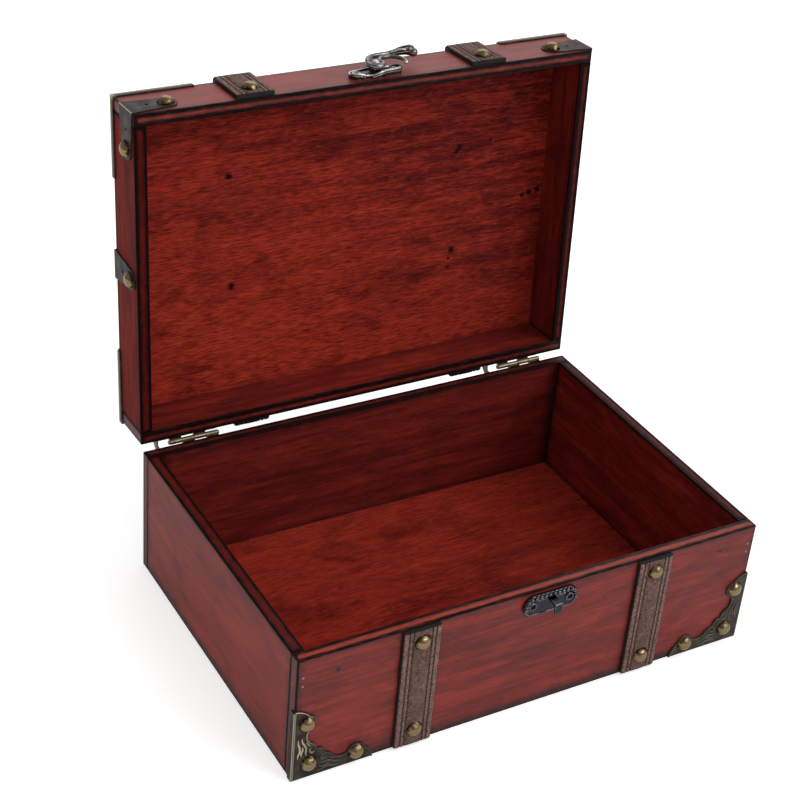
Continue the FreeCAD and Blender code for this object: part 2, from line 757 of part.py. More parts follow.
def hinges():
    for name, side in SIDES.items():
        middle = "(%d) * (box_width / 2 - hinge_inset)" % side
        hinge_leaf("base_hinge_leaf_" + name, middle, "base", "base_hinge_screws", None)
        hinge_leaf("lid_hinge_leaf_" + name, middle, "lid", "lid_hinge_screws", lid_open)
        hinge_pin("hinge_pin_" + name, middle)


# Latch

def hole_rings(label, spacing, height):
    """Raised rings round the two nail holes of a plate."""
    rings = []
    for side in SIDES.values():
        centre = ("(%d) * %s / 2" % (side, spacing), "0", height)
        rings.append(bent_rod(label + "_ring", centre, "hole_ring_radius", "hole_ring_rod", 0, "360"))
    return rings


def hook_rivet():
    """The rivet that the hook turns on: a shank from the board to the hub and a round head over the hub."""
    seat = size(HOOK_FLOOR + " + hook_thickness + hook_rivet_play")
    shank = Part.makeCylinder(size("hook_rivet_radius"), seat + board_depth, Vector(0, 0, -board_depth))
    head = size("hook_rivet_head_radius")
    rise = size("hook_rivet_head_height")
    cap_radius = (head ** 2 + rise ** 2) / (2 * rise)
    cap = Part.makeSphere(cap_radius, Vector(0, 0, seat + rise - cap_radius))
    slab = Part.makeCylinder(cap_radius, rise, Vector(0, 0, seat))
    rivet = doc.addObject("Part::Feature", "hook_rivet")
    rivet.Shape = shank.fuse(cap.common(slab)).removeSplitter()
    place = on_front(size("latch_shift"), pivot_z())
    keep(rivet, "hook_rivet", lid_open.multiply(place))
    bore = doc.addObject("Part::Feature", "hook_rivet_holes")
    clearance = size("hook_rivet_clearance")
    bore.Shape = Part.makeCylinder(size("hook_rivet_radius") + clearance, 2 * seat + board_depth,
                                   Vector(0, 0, -board_depth - clearance))
    bore.Placement = place
    drills["hook_rivet"] = bore


def hook_plate():
    """A waisted plate with a boss that the hook turns on."""
    level = "hook_plate_thickness"
    reach = "hook_plate_hole_spacing / 2"
    solids = [disc("hook_plate_middle", ("0", "0", "0"), "hook_plate_middle_radius", level),
              disc("hook_plate_boss", ("0", "0", "0"), "hook_boss_radius", level + " + hook_boss_height"),
              block("hook_plate_bar", ("-" + reach, "-hook_plate_neck / 2", "0"),
                    ("hook_plate_hole_spacing", "hook_plate_neck", level))]
    for side in SIDES.values():
        end = ("(%d) * %s" % (side, reach), "0", "0")
        solids.append(disc("hook_plate_end", end, "hook_plate_end_radius", level))
    whole = union("hook_plate_whole", solids + hole_rings("hook_plate", "hook_plate_hole_spacing", level))
    whole.Placement = on_front(size("latch_shift"), pivot_z())
    keep(carve(whole, [drills["hook_plate_tacks"], drills["hook_rivet"]]), "hook_plate", lid_open)


def latch_hook():
    """A hub with a curled prong that passes under the keeper, and a swan neck that ends in a ball."""
    middle = HOOK_FLOOR + " + hook_thickness / 2"
    bend = ("prong_bend_reach", "prong_bend_rise", middle)
    tip_angle = size("prong_tip_angle")
    tip = ("prong_bend_reach + prong_bend_radius * cos(prong_tip_angle * 1 deg)",
           "prong_bend_rise + prong_bend_radius * sin(prong_tip_angle * 1 deg)", middle)
    prong_sweep = "prong_root_angle - prong_tip_angle"
    neck = ("neck_bend_reach", "-neck_bend_drop", middle)
    elbow = ("neck_bend_reach", "neck_bend_radius - neck_bend_drop", middle)
    neck_top = Vector(size("neck_bend_reach"), size("neck_bend_radius - neck_bend_drop"), size(middle))
    ball_middle = Vector(size("ball_reach"), size("ball_rise"), size(middle + " + ball_lift"))
    arm = doc.addObject("Part::Cylinder", "latch_hook_arm")
    arm_way = ball_middle.sub(neck_top)
    arm.Placement = Placement(neck_top, Rotation(UP, arm_way))
    arm.Height = arm_way.Length
    bind(arm, Radius="neck_rod_radius")
    solids = [
        disc("latch_hook_hub", ("0", "0", HOOK_FLOOR), "hook_hub_radius", "hook_thickness"),
        bent_rod("latch_hook_prong", bend, "prong_bend_radius", PRONG_ROD, tip_angle, prong_sweep),
        ball("latch_hook_tip", tip, PRONG_ROD),
        bent_rod("latch_hook_neck", neck, "neck_bend_radius", "neck_rod_radius", 90, "neck_root_angle - 90"),
        ball("latch_hook_elbow", elbow, "neck_rod_radius"),
        arm,
        ball("latch_hook_ball", ("ball_reach", "ball_rise", middle + " + ball_lift"), "ball_radius"),
    ]
    whole = union("latch_hook_whole", solids)
    whole.Placement = on_front(size("latch_shift"), pivot_z())
    keep(carve(whole, [drills["hook_rivet"]]), "latch_hook", lid_open)


def catch_plate():
    """A round-ended plate with a tongue bent out and down, behind which the prong passes."""
    level = "catch_thickness"
    half = "catch_height / 2"
    bar = "catch_hole_spacing + 2 * catch_end_margin - catch_height"
    lip_face = HOOK_FLOOR + " + hook_thickness + hook_play"
    wall = block("catch_plate_wall", ("-keeper_width / 2", "catch_keeper_rise", "0"),
                 ("keeper_width", "keeper_wall", lip_face + " + keeper_wall"))
    lip = block("catch_plate_lip", ("-keeper_width / 2", "catch_keeper_rise - keeper_drop", lip_face),
                ("keeper_width", "keeper_drop + keeper_wall", "keeper_wall"))
    middle = block("catch_plate_bar", ("-(%s) / 2" % bar, "-" + half, "0"), (bar, "catch_height", level))
    solids = [middle, wall, lip]
    for side in SIDES.values():
        solids.append(disc("catch_plate_end", ("(%d) * (%s) / 2" % (side, bar), "0", "0"), half, level))
    whole = union("catch_plate_whole", solids + hole_rings("catch_plate", "catch_hole_spacing", level))
    whole.Placement = on_front(size("catch_shift"), catch_z())
    keep(carve(whole, [drills["catch_plate_tacks"]]), "catch_plate")


# The box, piece by piece

place_fasteners()
hook_rivet()
carcass("base", "0", "base_height", "base_bottom_panel", "0", None, {
    "front": ["base_strap_studs", "base_bracket_studs", "catch_plate_tacks", "base_board_brads",
              "bottom_panel_brads"],
    "back": ["base_strap_studs", "base_hinge_screws", "base_board_brads", "bottom_panel_brads"],
    "sides": ["base_board_brads", "bottom_panel_brads"],
    "panel": ["bottom_panel_brads"],
})
carcass("lid", LID_RIM, "lid_height", "lid_top_panel", LID_TOP + " - panel_thickness", lid_open, {
    "front": ["lid_strap_studs", "lid_angle_studs", "lid_bracket_studs", "hook_plate_tacks", "hook_rivet",
              "lid_board_brads"],
    "back": ["lid_strap_studs", "lid_bracket_studs", "lid_hinge_screws", "lid_board_brads"],
    "sides": ["lid_angle_studs", "lid_bracket_studs", "lid_board_brads"],
    "panel": ["lid_strap_studs", "lid_bracket_studs", "lid_angle_studs"],
})
for side_name, side_way in SIDES.items():
    base_strap("base_front_strap_" + side_name, "strap_rim_gap", on_front(side_way * strap_x, 0))
    base_strap("base_back_strap_" + side_name, "strap_hinge_gap", on_back(side_way * strap_x, 0))
    lid_strap("lid_strap_" + side_name, side_way * strap_x)
brackets()
angles()
hinges()
hook_plate()
latch_hook()
catch_plate()
doc.recompute()

# Nothing is written unless every object is sound

for thing in doc.Objects:
    if "Invalid" in thing.State or "Error" in thing.State:
        raise RuntimeError("%s did not compute: %s" % (thing.Label, thing.State))
for label, piece in nodes.items():
    if piece.Shape.isNull() or not piece.Shape.isValid() or not piece.Shape.Solids:
        raise RuntimeError("%s has no sound solid" % label)

os.makedirs("parts", exist_ok=True)
for label, piece in nodes.items():
    piece.Shape.exportStep("parts/%s.step" % label)
print("%d pieces written" % len(nodes))
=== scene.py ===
"""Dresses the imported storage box: leather straps, corner reliefs, latch castings, finishes and stage.

Laid out as an add-on and run as a script. main() registers the classes and calls the operators in order.
"""

import json
import math

import bmesh
import bpy
from bpy.props import FloatProperty, FloatVectorProperty, PointerProperty
from mathutils import Matrix, Quaternion, Vector


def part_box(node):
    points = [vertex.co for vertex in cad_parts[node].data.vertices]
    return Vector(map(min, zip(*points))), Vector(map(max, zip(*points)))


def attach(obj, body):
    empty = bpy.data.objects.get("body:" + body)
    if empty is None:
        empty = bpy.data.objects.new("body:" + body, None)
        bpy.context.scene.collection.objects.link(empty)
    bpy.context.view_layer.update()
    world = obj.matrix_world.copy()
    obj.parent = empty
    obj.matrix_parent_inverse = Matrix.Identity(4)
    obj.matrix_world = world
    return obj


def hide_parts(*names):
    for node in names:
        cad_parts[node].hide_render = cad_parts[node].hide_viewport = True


bl_info = {
    "name": "Strapped storage box",
    "version": (1, 0, 0),
    "blender": (4, 5, 0),
    "location": "3D View > Sidebar > Storage box",
    "description": "Straps, corner reliefs, latch and finishes of a stained wooden storage box",
    "category": "Object",
}

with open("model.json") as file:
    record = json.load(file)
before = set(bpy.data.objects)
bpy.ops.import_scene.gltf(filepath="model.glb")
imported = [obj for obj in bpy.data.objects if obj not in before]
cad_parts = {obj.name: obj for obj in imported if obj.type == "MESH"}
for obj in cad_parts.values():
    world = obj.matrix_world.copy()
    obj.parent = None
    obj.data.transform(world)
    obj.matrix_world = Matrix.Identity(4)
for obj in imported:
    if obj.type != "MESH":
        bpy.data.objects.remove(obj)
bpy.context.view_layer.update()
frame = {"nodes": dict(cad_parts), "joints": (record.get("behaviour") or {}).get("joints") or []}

MM = 0.001
BOARD_LOW, BOARD_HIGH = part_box("base_front_board")
HALF_WIDTH = BOARD_HIGH.x
HALF_DEPTH = -BOARD_LOW.y
STRAP_LOW, STRAP_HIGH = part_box("base_front_strap_right")
STRAP_X = (STRAP_LOW.x + STRAP_HIGH.x) / 2
JOINTS = {joint["name"]: joint for joint in frame["joints"]}
LID_AXIS = Vector(JOINTS["lid_hinge"]["pos_m"])
LID_ANGLE = math.radians(JOINTS["lid_hinge"]["range_deg"][1])
LID_OPEN = Matrix.Translation(LID_AXIS) @ Matrix.Rotation(-LID_ANGLE, 4, "X") @ Matrix.Translation(-LID_AXIS)
LID_SHUT = LID_OPEN.inverted()
ON_FRONT = Matrix.Rotation(math.radians(90), 4, "X")
SIDES = {"left": -1, "right": 1}
OUTWARD = {"front": (0, -1, 0), "back": (0, 1, 0), "left": (-1, 0, 0), "right": (1, 0, 0)}
BRACKET_SHEET = 0.8 * MM
# Millimetres from the boards to the middle of the hook
HOOK_LEVEL = 6.2


def shut_box(node):
    """Lowest and highest corner of a lid node with the lid shut."""
    places = [LID_SHUT @ vertex.co for vertex in frame["nodes"][node].data.vertices]
    return Vector(map(min, zip(*places))), Vector(map(max, zip(*places)))


LID_TOP = shut_box("lid_front_board")[1].z
STRAP_FOOT = STRAP_LOW.z
LID_STRAP_FOOT = shut_box("lid_strap_left")[0].z


def at(x, y, z):
    return Matrix.Translation((x, y, z))


def mm(*sizes):
    """Millimetres as metres."""
    return tuple(size * MM for size in sizes)


def linear(code):
    """An sRGB hex value as the linear colour that sockets take."""
    shares = [int(code[place:place + 2], 16) / 255 for place in (1, 3, 5)]
    return [s / 12.92 if s <= 0.04045 else ((s + 0.055) / 1.055) ** 2.4 for s in shares]


# Settings a user would change

def colour(name, code, description):
    return FloatVectorProperty(name=name, description=description, default=linear(code), subtype="COLOR",
                               size=3, min=0, max=1)


def length(name, millimetres, description):
    return FloatProperty(name=name, description=description, default=millimetres * MM, min=0, unit="LENGTH",
                         precision=4)


def share(name, default, description):
    return FloatProperty(name=name, description=description, default=default, min=0, max=1, subtype="FACTOR")


class StrapSettings(bpy.types.PropertyGroup):
    width: length("Width", (STRAP_HIGH.x - STRAP_LOW.x) / MM, "Across a strap")
    thickness: length("Thickness", (-HALF_DEPTH - STRAP_LOW.y) / MM, "Of the folded leather")
    end_rounding: length("End rounding", 0.5, "How far the cut ends are rubbed round")
    outer_row: length("Outer stitch row", 7.7, "From the middle of the strap")
    inner_row: length("Inner stitch row", 5.3, "From the middle of the strap")
    stitch_pitch: length("Stitch pitch", 4.5, "From one stitch to the next")
    stitch_length: length("Stitch length", 3.5, "Of the thread that shows")
    thread_radius: length("Thread radius", 0.3, "Half the thread's thickness")
    leather: colour("Leather", "#6d4f45", "Face of the leather")
    # Partly worn leather and partly painted highlight.
    leather_worn: colour("Worn leather", "#957568", "Ridges beside the seams")
    leather_dark: colour("Leather shade", "#382422", "Creases and rubbed-in dirt")
    edge_paint: colour("Edge paint", "#120e0e", "Painted edges of the leather")
    thread: colour("Thread", "#6a4c40", "Stitching thread")


class ReliefSettings(bpy.types.PropertyGroup):
    roll_radius: length("Roll radius", 0.55, "Of the half-round roll along a folded edge")
    rim_radius: length("Rim radius", 0.42, "Of the bead along the scalloped edge")
    rim_inset: length("Rim inset", 0.5, "Of that bead from the edge")
    scroll_radius: length("Scroll radius", 0.75, "Of the scrolls at their thickest")


class LatchSettings(bpy.types.PropertyGroup):
    cast_grit: length("Casting grit", 0.2, "How coarse the castings' surface is")
    bead_radius: length("Bead radius", 1.25, "Of the beads along the catch plate")
    bead_pitch: length("Bead pitch", 2.7, "From bead to bead")
    ring_radius: length("Hole ring radius", 2.0, "Of the raised rings round the nail holes")


class WoodSettings(bpy.types.PropertyGroup):
    light: colour("Light wood", "#993022", "Early wood, which takes less stain")
    mid: colour("Stain", "#701c16", "The stain at its usual depth")
    dark: colour("Dark wood", "#410f11", "Late wood and deep stain")
    pores: colour("Pores", "#2a0b0b", "Open pores full of stain")
    flecks: colour("Flecks", "#a23e29", "Fibres that shed the stain")
    rim: colour("Rubbed rim", "#b24c3a", "Top edges rubbed through by hands")
    edges: colour("Dark edges", "#180c0d", "Antiqued edges of the boards")
    rim_line: length("Rim line", 3.2, "Width of the dark line along the inner edge of a board's rim")
    face_line: length("Face line", 1.2, "Width of the dark line along the other edges")
    # How far the boards get darker from the base's foot.
    foot_darkening: length("Foot smoke", 8.0, "How far the dark stain climbs from the base's foot")
    # Painted shade: how far from the corners of the well the inside faces are painted darker.
    painted_corner_shade: length("Corner smoke", 10.0, "How far the dark stain reaches from the corners of the well")
    lacquer: share("Lacquer", 0.34, "Gloss of the satin lacquer outside")


class MetalSettings(bpy.types.PropertyGroup):
    # The stud crown colour is partly painted highlight, the stud rim colour partly painted shade.
    brass: colour("Brass", "#957f5c", "Rubbed crown of a stud")
    brass_patina: colour("Brass patina", "#1e160f", "Dark rim of a stud")
    bronze: colour("Bronze", "#3b3230", "Dark ground of the corners")
    bronze_deep: colour("Deep bronze", "#2a2120", "The same where the ridges are worn most")
    # Partly rubbed plating and partly painted highlight.
    bronze_worn: colour("Worn bronze", "#c9bda4", "Rubbed ridges of the corners")
    # The worn colours of the catch and hook are partly rubbed metal and partly painted highlight.
    gunmetal: colour("Gunmetal", "#3a3a3e", "Dark ground of the catch")
    gunmetal_worn: colour("Worn gunmetal", "#78767a", "Rubbed edges of the catch")
    pewter: colour("Pewter", "#4c4947", "Ground of the hook")
    pewter_worn: colour("Worn pewter", "#ebe8e3", "Rubbed edges of the hook")
    hinge: colour("Hinge brass", "#7a6d59", "Plated hinge leaves")
    hinge_tarnish: colour("Hinge tarnish", "#4a4239", "Tarnish on the hinges")
    steel: colour("Steel", "#8d8884", "Heads of the nails")


class StageSettings(bpy.types.PropertyGroup):
    floor: colour("Floor", "#fafafa", "The pale floor")
    floor_lift: share("Floor lift", 0.45, "Light that the floor adds for the camera alone")
    ambient: share("Ambient", 0.75, "Light from all round")
    key: FloatProperty(name="Key light", description="Strength of the soft key light", default=0.7, min=0)
    spark: FloatProperty(name="Spark light", description="Strength of the small light that metal shows as a highlight",
                         default=0.3, min=0)
    room: share("Room", 0.3, "Brightness of the room that metal reflects")
    front_box: FloatProperty(name="Front softbox", description="Its brightness in reflections", default=0.8, min=0)
    back_box: FloatProperty(name="Back softbox", description="Its brightness in reflections", default=0.9, min=0)
    lens: length("Lens", 81.505, "Focal length on a 36 mm sensor")


# Working on meshes

def only(*pieces):
    """Leaves just these pieces selected, the first of them active."""
    if bpy.context.mode != "OBJECT":
        bpy.ops.object.mode_set(mode="OBJECT")
    bpy.ops.object.select_all(action="DESELECT")
    for piece in pieces:
        piece.select_set(True)
    if pieces:
        bpy.context.view_layer.objects.active = pieces[0]


def name_piece(piece, name):
    piece.name = name
    piece.data.name = name
    return piece


def edit(piece):
    """Enters edit mode with all of a piece selected."""
    only(piece)
    bpy.ops.object.mode_set(mode="EDIT")
    bpy.ops.mesh.select_all(action="SELECT")


def leave_edit():
    bpy.ops.object.mode_set(mode="OBJECT")


def pick(test, kind="verts"):
    """In edit mode, selects just the vertices or faces that pass the test."""
    bpy.ops.mesh.select_all(action="DESELECT")
    mesh = bpy.context.object.data
    shape = bmesh.from_edit_mesh(mesh)
    for element in getattr(shape, kind):
        if test(element):
            element.select_set(True)
    shape.select_flush(True)
    bmesh.update_edit_mesh(mesh)


def clean_up():
    """In edit mode, closes seams and turns the faces outwards."""
    bpy.ops.mesh.select_all(action="SELECT")
    bpy.ops.mesh.remove_doubles(threshold=1e-6)
    bpy.ops.mesh.normals_make_consistent(inside=False)


def modify(piece, kind, **settings):
    only(piece)
    modifier = piece.modifiers.new(kind.lower(), kind)
    for name, value in settings.items():
        setattr(modifier, name, value)
    bpy.ops.object.modifier_apply(modifier=modifier.name)


def repeat(piece, count, step):
    """Makes a row of a piece, each copy one step from the last."""
    modify(piece, "ARRAY", count=count, use_relative_offset=False, use_constant_offset=True,
           constant_offset_displace=step)


def settle(piece, matrix):
    """Moves a piece by a matrix that ends up in its mesh."""
    only(piece)
    piece.matrix_world = matrix @ piece.matrix_world
    bpy.ops.object.transform_apply(location=True, rotation=True, scale=True)
    return piece


def twin(piece, name, matrix):
    """A copy of a piece with a mesh of its own, put where the matrix says."""
    only(piece)
    bpy.ops.object.duplicate(linked=False)
    return settle(name_piece(bpy.context.object, name), matrix)


def join(pieces, name):
    only(*pieces)
    bpy.ops.object.join()
    return name_piece(pieces[0], name)


def discard(*pieces):
    only(*pieces)
    bpy.ops.object.delete()


def rod(name, points, radii):
    """A round bar along a smooth line through its control points, with one radius or one for each point."""
    only()
    bpy.ops.curve.primitive_nurbs_path_add(location=(0, 0, 0))
    bar = name_piece(bpy.context.object, name)
    spline = bar.data.splines[0]
    spline.points.add(max(0, len(points) - len(spline.points)))
    spare = len(spline.points) - len(points)
    sizes = [radii] * len(points) if isinstance(radii, float) else list(radii)
    places = list(points) + [points[-1]] * spare
    sizes += [sizes[-1]] * spare
    for point, place, radius in zip(spline.points, places, sizes):
        point.co = (*place, 1)
        point.radius = radius
    spline.order_u = 3
    spline.use_endpoint_u = True
    spline.resolution_u = 4
    bar.data.bevel_depth = 1
    bar.data.bevel_resolution = 2
    bar.data.use_fill_caps = True
    only(bar)
    bpy.ops.object.convert(target="MESH")
    return bpy.context.object


def ball(name, centre, radii):
    """A rounded lump with its own radius on each axis."""
    only()
    bpy.ops.mesh.primitive_uv_sphere_add(segments=20, ring_count=12, radius=1, location=(0, 0, 0))
    lump = name_piece(bpy.context.object, name)
    return settle(lump, Matrix.Translation(centre) @ Matrix.Diagonal((*radii, 1)))


def ring(name, centre, radius, thickness):
    only()
    bpy.ops.mesh.primitive_torus_add(major_radius=radius, minor_radius=thickness, major_segments=40,
                                     minor_segments=12, location=centre)
    return settle(name_piece(bpy.context.object, name), Matrix.Identity(4))


def disc(name, centre, radius, height):
    """A round plate that stands on its centre."""
    only()
    middle = Vector(centre) + Vector((0, 0, height / 2))
    bpy.ops.mesh.primitive_cylinder_add(vertices=48, radius=radius, depth=height, location=middle)
    return settle(name_piece(bpy.context.object, name), Matrix.Identity(4))


def block(name, low, high):
    only()
    low, high = Vector(low), Vector(high)
    bpy.ops.mesh.primitive_cube_add(size=1, location=(low + high) / 2)
    bpy.context.object.scale = high - low
    return settle(name_piece(bpy.context.object, name), Matrix.Identity(4))


def cast(parts, name, grit):
    """Parts run together as in one casting, with softened edges."""
    whole = join(parts, name)
    modify(whole, "REMESH", mode="VOXEL", voxel_size=grit, use_smooth_shade=True)
    modify(whole, "SMOOTH", factor=0.5, iterations=3)
    return whole


def smooth(piece, angle):
    only(piece)
    bpy.ops.object.shade_smooth_by_angle(angle=math.radians(angle))


def dress(piece, material):
    piece.data.materials.clear()
    piece.data.materials.append(material)


# Working on materials

def plug(node, sockets):
    """Links the sockets given as sockets and sets the others."""
    for name, value in sockets.items():
        if isinstance(value, bpy.types.NodeSocket):
            node.id_data.links.new(value, node.inputs[name])
        elif node.inputs[name].type == "RGBA":
            node.inputs[name].default_value = (*value, 1)
        else:
            node.inputs[name].default_value = value


def add(tree, kind, sockets, out=0, **settings):
    """Adds a node with its settings and links, and gives back one of its outputs, or all for out None."""
    made = tree.nodes.new("ShaderNode" + kind)
    for name, value in settings.items():
        setattr(made, name, value)
    plug(made, sockets)
    return made.outputs if out is None else made.outputs[out]


def tree_of(values):
    """The node tree of the first value that is a socket."""
    return next(value.id_data for value in values if isinstance(value, bpy.types.NodeSocket))


def calc(operation, *values):
    """A step of arithmetic, with a socket at least among its values."""
    return add(tree_of(values), "Math", dict(enumerate(values)), operation=operation)


def measure(operation, *vectors, out="Value"):
    """The same for vectors: a number, or for out 0 a vector."""
    return add(tree_of(vectors), "VectorMath", dict(enumerate(vectors)), out=out, operation=operation)


def choose(amount, first, second):
    """A number that goes from the first to the second as the amount goes from nought to one."""
    return add(tree_of((amount, first, second)), "Mix", {0: amount, 2: first, 3: second})


def blend(amount, first, second, how="MIX"):
    """The same for colours."""
    return add(tree_of((amount, first, second)), "Mix", {0: amount, 6: first, 7: second}, out=2,
               data_type="RGBA", blend_type=how)


def remap(value, low=0.0, high=1.0, start=0.0, finish=1.0, smooth=False):
    """Goes from start to finish as the value goes from low to high, and stays there outside."""
    return add(value.id_data, "MapRange", {"Value": value, "From Min": low, "From Max": high, "To Min": start,
                                           "To Max": finish},
               interpolation_type="SMOOTHSTEP" if smooth else "LINEAR")


def noise(place, size=1000, detail=2.0, roughness=0.5, distortion=0.0):
    """Clouds of this size in millimetres, or of one unit, the usual, where the place is scaled already."""
    return add(place.id_data, "TexNoise", {"Vector": place, "Scale": 1 / (size * MM), "Detail": detail,
                                           "Roughness": roughness, "Distortion": distortion})


def bump(height, strength, millimetres):
    return add(height.id_data, "Bump", {"Height": height, "Strength": strength, "Distance": millimetres * MM})


def axis_of(place, name):
    return add(place.id_data, "SeparateXYZ", {0: place}, out=name)


def start_material(name, lid=False):
    """A new material with its shader, and Object coordinates, for a lid piece as they are with the lid shut."""
    material = bpy.data.materials.new(name)
    material.use_nodes = True
    tree = material.node_tree
    place = add(tree, "TexCoord", {}, out="Object")
    if lid:
        turned = LID_SHUT.to_3x3() @ LID_AXIS
        place = add(tree, "Mapping", {"Vector": place, "Location": LID_AXIS - turned,
                                      "Rotation": LID_SHUT.to_euler()})
    return material, tree.nodes["Principled BSDF"], place


def heights_over_box(place, lid):
    """How far a point stands out of the boards, on the face where it stands out most and on the next one."""
    x, y, z = axis_of(place, None)
    out_x = calc("SUBTRACT", calc("ABSOLUTE", x), HALF_WIDTH)
    out_y = calc("SUBTRACT", calc("ABSOLUTE", y), HALF_DEPTH)
    more, less = calc("MAXIMUM", out_x, out_y), calc("MINIMUM", out_x, out_y)
    if not lid:
        return more, less
    out_z = calc("SUBTRACT", z, LID_TOP)
    return calc("MAXIMUM", more, out_z), calc("MAXIMUM", calc("MINIMUM", more, out_z), less)


def stretched(place, grain, along, across, start=(0, 0, 0)):
    """Coordinates for a pattern that is long along the grain, from its sizes in millimetres."""
    scale = Vector((1 / (across * MM),) * 3)
    scale["XYZ".index(grain)] = 1 / (along * MM)
    return add(place.id_data, "Mapping", {"Vector": place, "Location": start, "Scale": scale})


def stained_plywood(node, wood, coarse=0.45, depth=0.0, sheen=1.0, rub=0.1, painted_light=None, marks=()):
    """Birch plywood, rubbed with red-brown stain and antiqued along its edges, under satin lacquer.

    The eye sees fine fibres and short pores along the grain, blotches where the stain took unevenly,
    burnt-looking edges and a soft milky sheen at low angles. Painted shade darkens the inside corners of the base's
    well, and the base's boards get darker towards its foot. Coarse is how roughly a piece was sanded, and the panels
    were left rougher than the boards. Depth is painted shade on a whole board: how much darker it is painted, or
    painted light where it is less than nought. Rub is how far hands have rubbed the stain off a rim, or how much more
    of it a rim holds where it is less than nought. The way and height given for a panel paint light on its inside
    face: that face is painted paler per metre along the way, and the height is where the inside face starts.
    """
    lid = node.startswith("lid")
    material, shader, place = start_material("stained_plywood_" + node, lid)
    board = node.endswith("_board")
    grain = "Y" if "_left_" in node or "_right_" in node else "X"
    low, high = shut_box(node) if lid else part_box(node)
    seed = Vector((len(node) * 0.13, sum(map(ord, node)) * 0.017 % 3, 0.4))

    def pattern(along, across, detail, distortion=0.0):
        return noise(stretched(place, grain, along, across, seed), detail=detail, roughness=0.62,
                     distortion=distortion)

    fibres = pattern(8, 0.75, 3)
    bands = choose(0.45, pattern(80, 11, 5, 0.8), pattern(45, 2.4, 4, 0.3))
    tone = blend(remap(bands, 0.26 + 0.1 * coarse, 0.52), wood.dark, wood.mid)
    tone = blend(remap(bands, 0.48, 0.76 - 0.08 * coarse), tone, wood.light)
    # Painted shade: depth paints a whole board darker, or paints light on it where it is below nought.
    tone = blend(abs(depth), tone, wood.dark if depth > 0 else wood.light)
    # Painted light: the inside face of a panel is painted paler along a given way.
    if painted_light:
        inside = calc("LESS_THAN" if lid else "GREATER_THAN", axis_of(place, "Z"), painted_light[3] * MM)
        painted_light_drift = remap(measure("DOT_PRODUCT", place, painted_light[:3]), -0.8, 1.0, 0.0, 0.9)
        tone = blend(calc("MULTIPLY", painted_light_drift, inside), tone, wood.light)
    blotches = remap(pattern(38, 21, 4, 0.6), 0.48, 0.7, 0.0, 0.35 + 0.35 * coarse)
    tone = blend(blotches, tone, wood.dark)
    tone = blend(0.05 + 0.5 * coarse, tone, remap(fibres, 0.32, 0.68), "OVERLAY")
    tone = blend(remap(pattern(5, 2.2, 3), 0.54, 0.74, 0.0, 0.4 * coarse), tone, wood.flecks)
    pores = remap(pattern(5, 0.55, 1), 0.58, 0.72, 0.0, 0.6 * coarse)
    tone = blend(pores, tone, wood.pores)

    # On a face one distance to the board's sides is nought, so the next one is the way to the nearest edge.
    from_middle = measure("SUBTRACT", place, (low + high) / 2, out=0)
    room = measure("SUBTRACT", (high - low) / 2, measure("ABSOLUTE", from_middle, out=0), out=0)
    x, y, z = axis_of(room, None)
    edge = calc("MAXIMUM", calc("MINIMUM", x, y), calc("MINIMUM", calc("MAXIMUM", x, y), z))
    on_rim = calc("LESS_THAN", z, 0.25 * MM)
    ragged = remap(pattern(7, 4, 3), 0.3, 0.7, -0.6 * MM, 0.6 * MM)

    def torn(value, amount):
        return calc("ADD", value, calc("MULTIPLY", ragged, amount))

    # Darkening of the antiqued edges, to which the darker foot and the painted shade in the well's corners are added.
    edge_stain_and_corner_shade = remap(torn(edge, 2.0), 0.3 * MM, 4 * wood.face_line, 0.55, 0.0)
    line = wood.face_line
    if board:
        outward = measure("DOT_PRODUCT", from_middle, OUTWARD[node.split("_")[1]])
    if board and not lid:
        # The base's boards get darker towards their foot.
        foot = remap(torn(axis_of(place, "Z"), 2.5), 0.15 * wood.foot_darkening, wood.foot_darkening, 0.85, 0.0, smooth=True)
        edge_stain_and_corner_shade = calc("MAXIMUM", edge_stain_and_corner_shade, foot)
        # Painted shade: the inside faces of the front and back boards are painted darker towards the corners of the
        # well.
        if grain == "X":
            well = -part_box("base_left_board")[1].x
            across = torn(calc("ABSOLUTE", axis_of(place, "X")), 2.0)
            corner = remap(across, well - wood.painted_corner_shade, well, 0.0, 0.8, smooth=True)
            on_inside = calc("LESS_THAN", outward, -0.3 * (high - low).y)
            edge_stain_and_corner_shade = calc("MAXIMUM", edge_stain_and_corner_shade, calc("MULTIPLY", corner, on_inside))
    if board:
        worn = max(rub, 0.1)
        broad = (1 + 0.6 * min(rub, 0)) * wood.rim_line
        edge_stain_and_corner_shade = choose(on_rim, edge_stain_and_corner_shade, calc("MULTIPLY", edge_stain_and_corner_shade, 1.8 - 2.2 * worn))
        rubbed = calc("MULTIPLY", remap(fibres, 0.36, 0.6, 0.4 * abs(rub), abs(rub)), on_rim)
        tone = blend(rubbed, tone, wood.rim if rub > 0 else wood.dark)
        line = choose(calc("GREATER_THAN", outward, 0.0), broad, (0.9 - 0.5 * worn) * broad)
        line = choose(on_rim, wood.face_line, line)
    tone = blend(edge_stain_and_corner_shade, tone, wood.edges)
    narrow = calc("DIVIDE", torn(edge, 0.5), line)
    burnt = remap(narrow, 0.55, 1.2, remap(fibres, 0.35, 0.5, 0.75, 1.0), 0.0, smooth=True)
    tone = blend(burnt, tone, wood.edges)

    frayed = remap(fibres, 0.3, 0.7, -0.8 * MM, 0.8 * MM)
    for middle, radius in marks:
        gap = calc("ADD", measure("DISTANCE", place, Vector(middle) * MM), frayed)
        tone = blend(remap(gap, 0.45 * radius * MM, 1.5 * radius * MM, 1.0, 0.0, smooth=True), tone, wood.edges)

    dull = calc("MAXIMUM", calc("MULTIPLY", on_rim, 0.5 if board else 0.8), burnt)
    plug(shader, {
        "Base Color": tone,
        "Roughness": remap(fibres, 0.3, 0.7, 0.38, 0.52),
        "Normal": bump(calc("SUBTRACT", fibres, pores), 0.25, 0.15),
        "Specular IOR Level": wood.lacquer * sheen,
        "Specular Tint": blend(dull, linear("#ffffff"), wood.edges),
    })
    return material


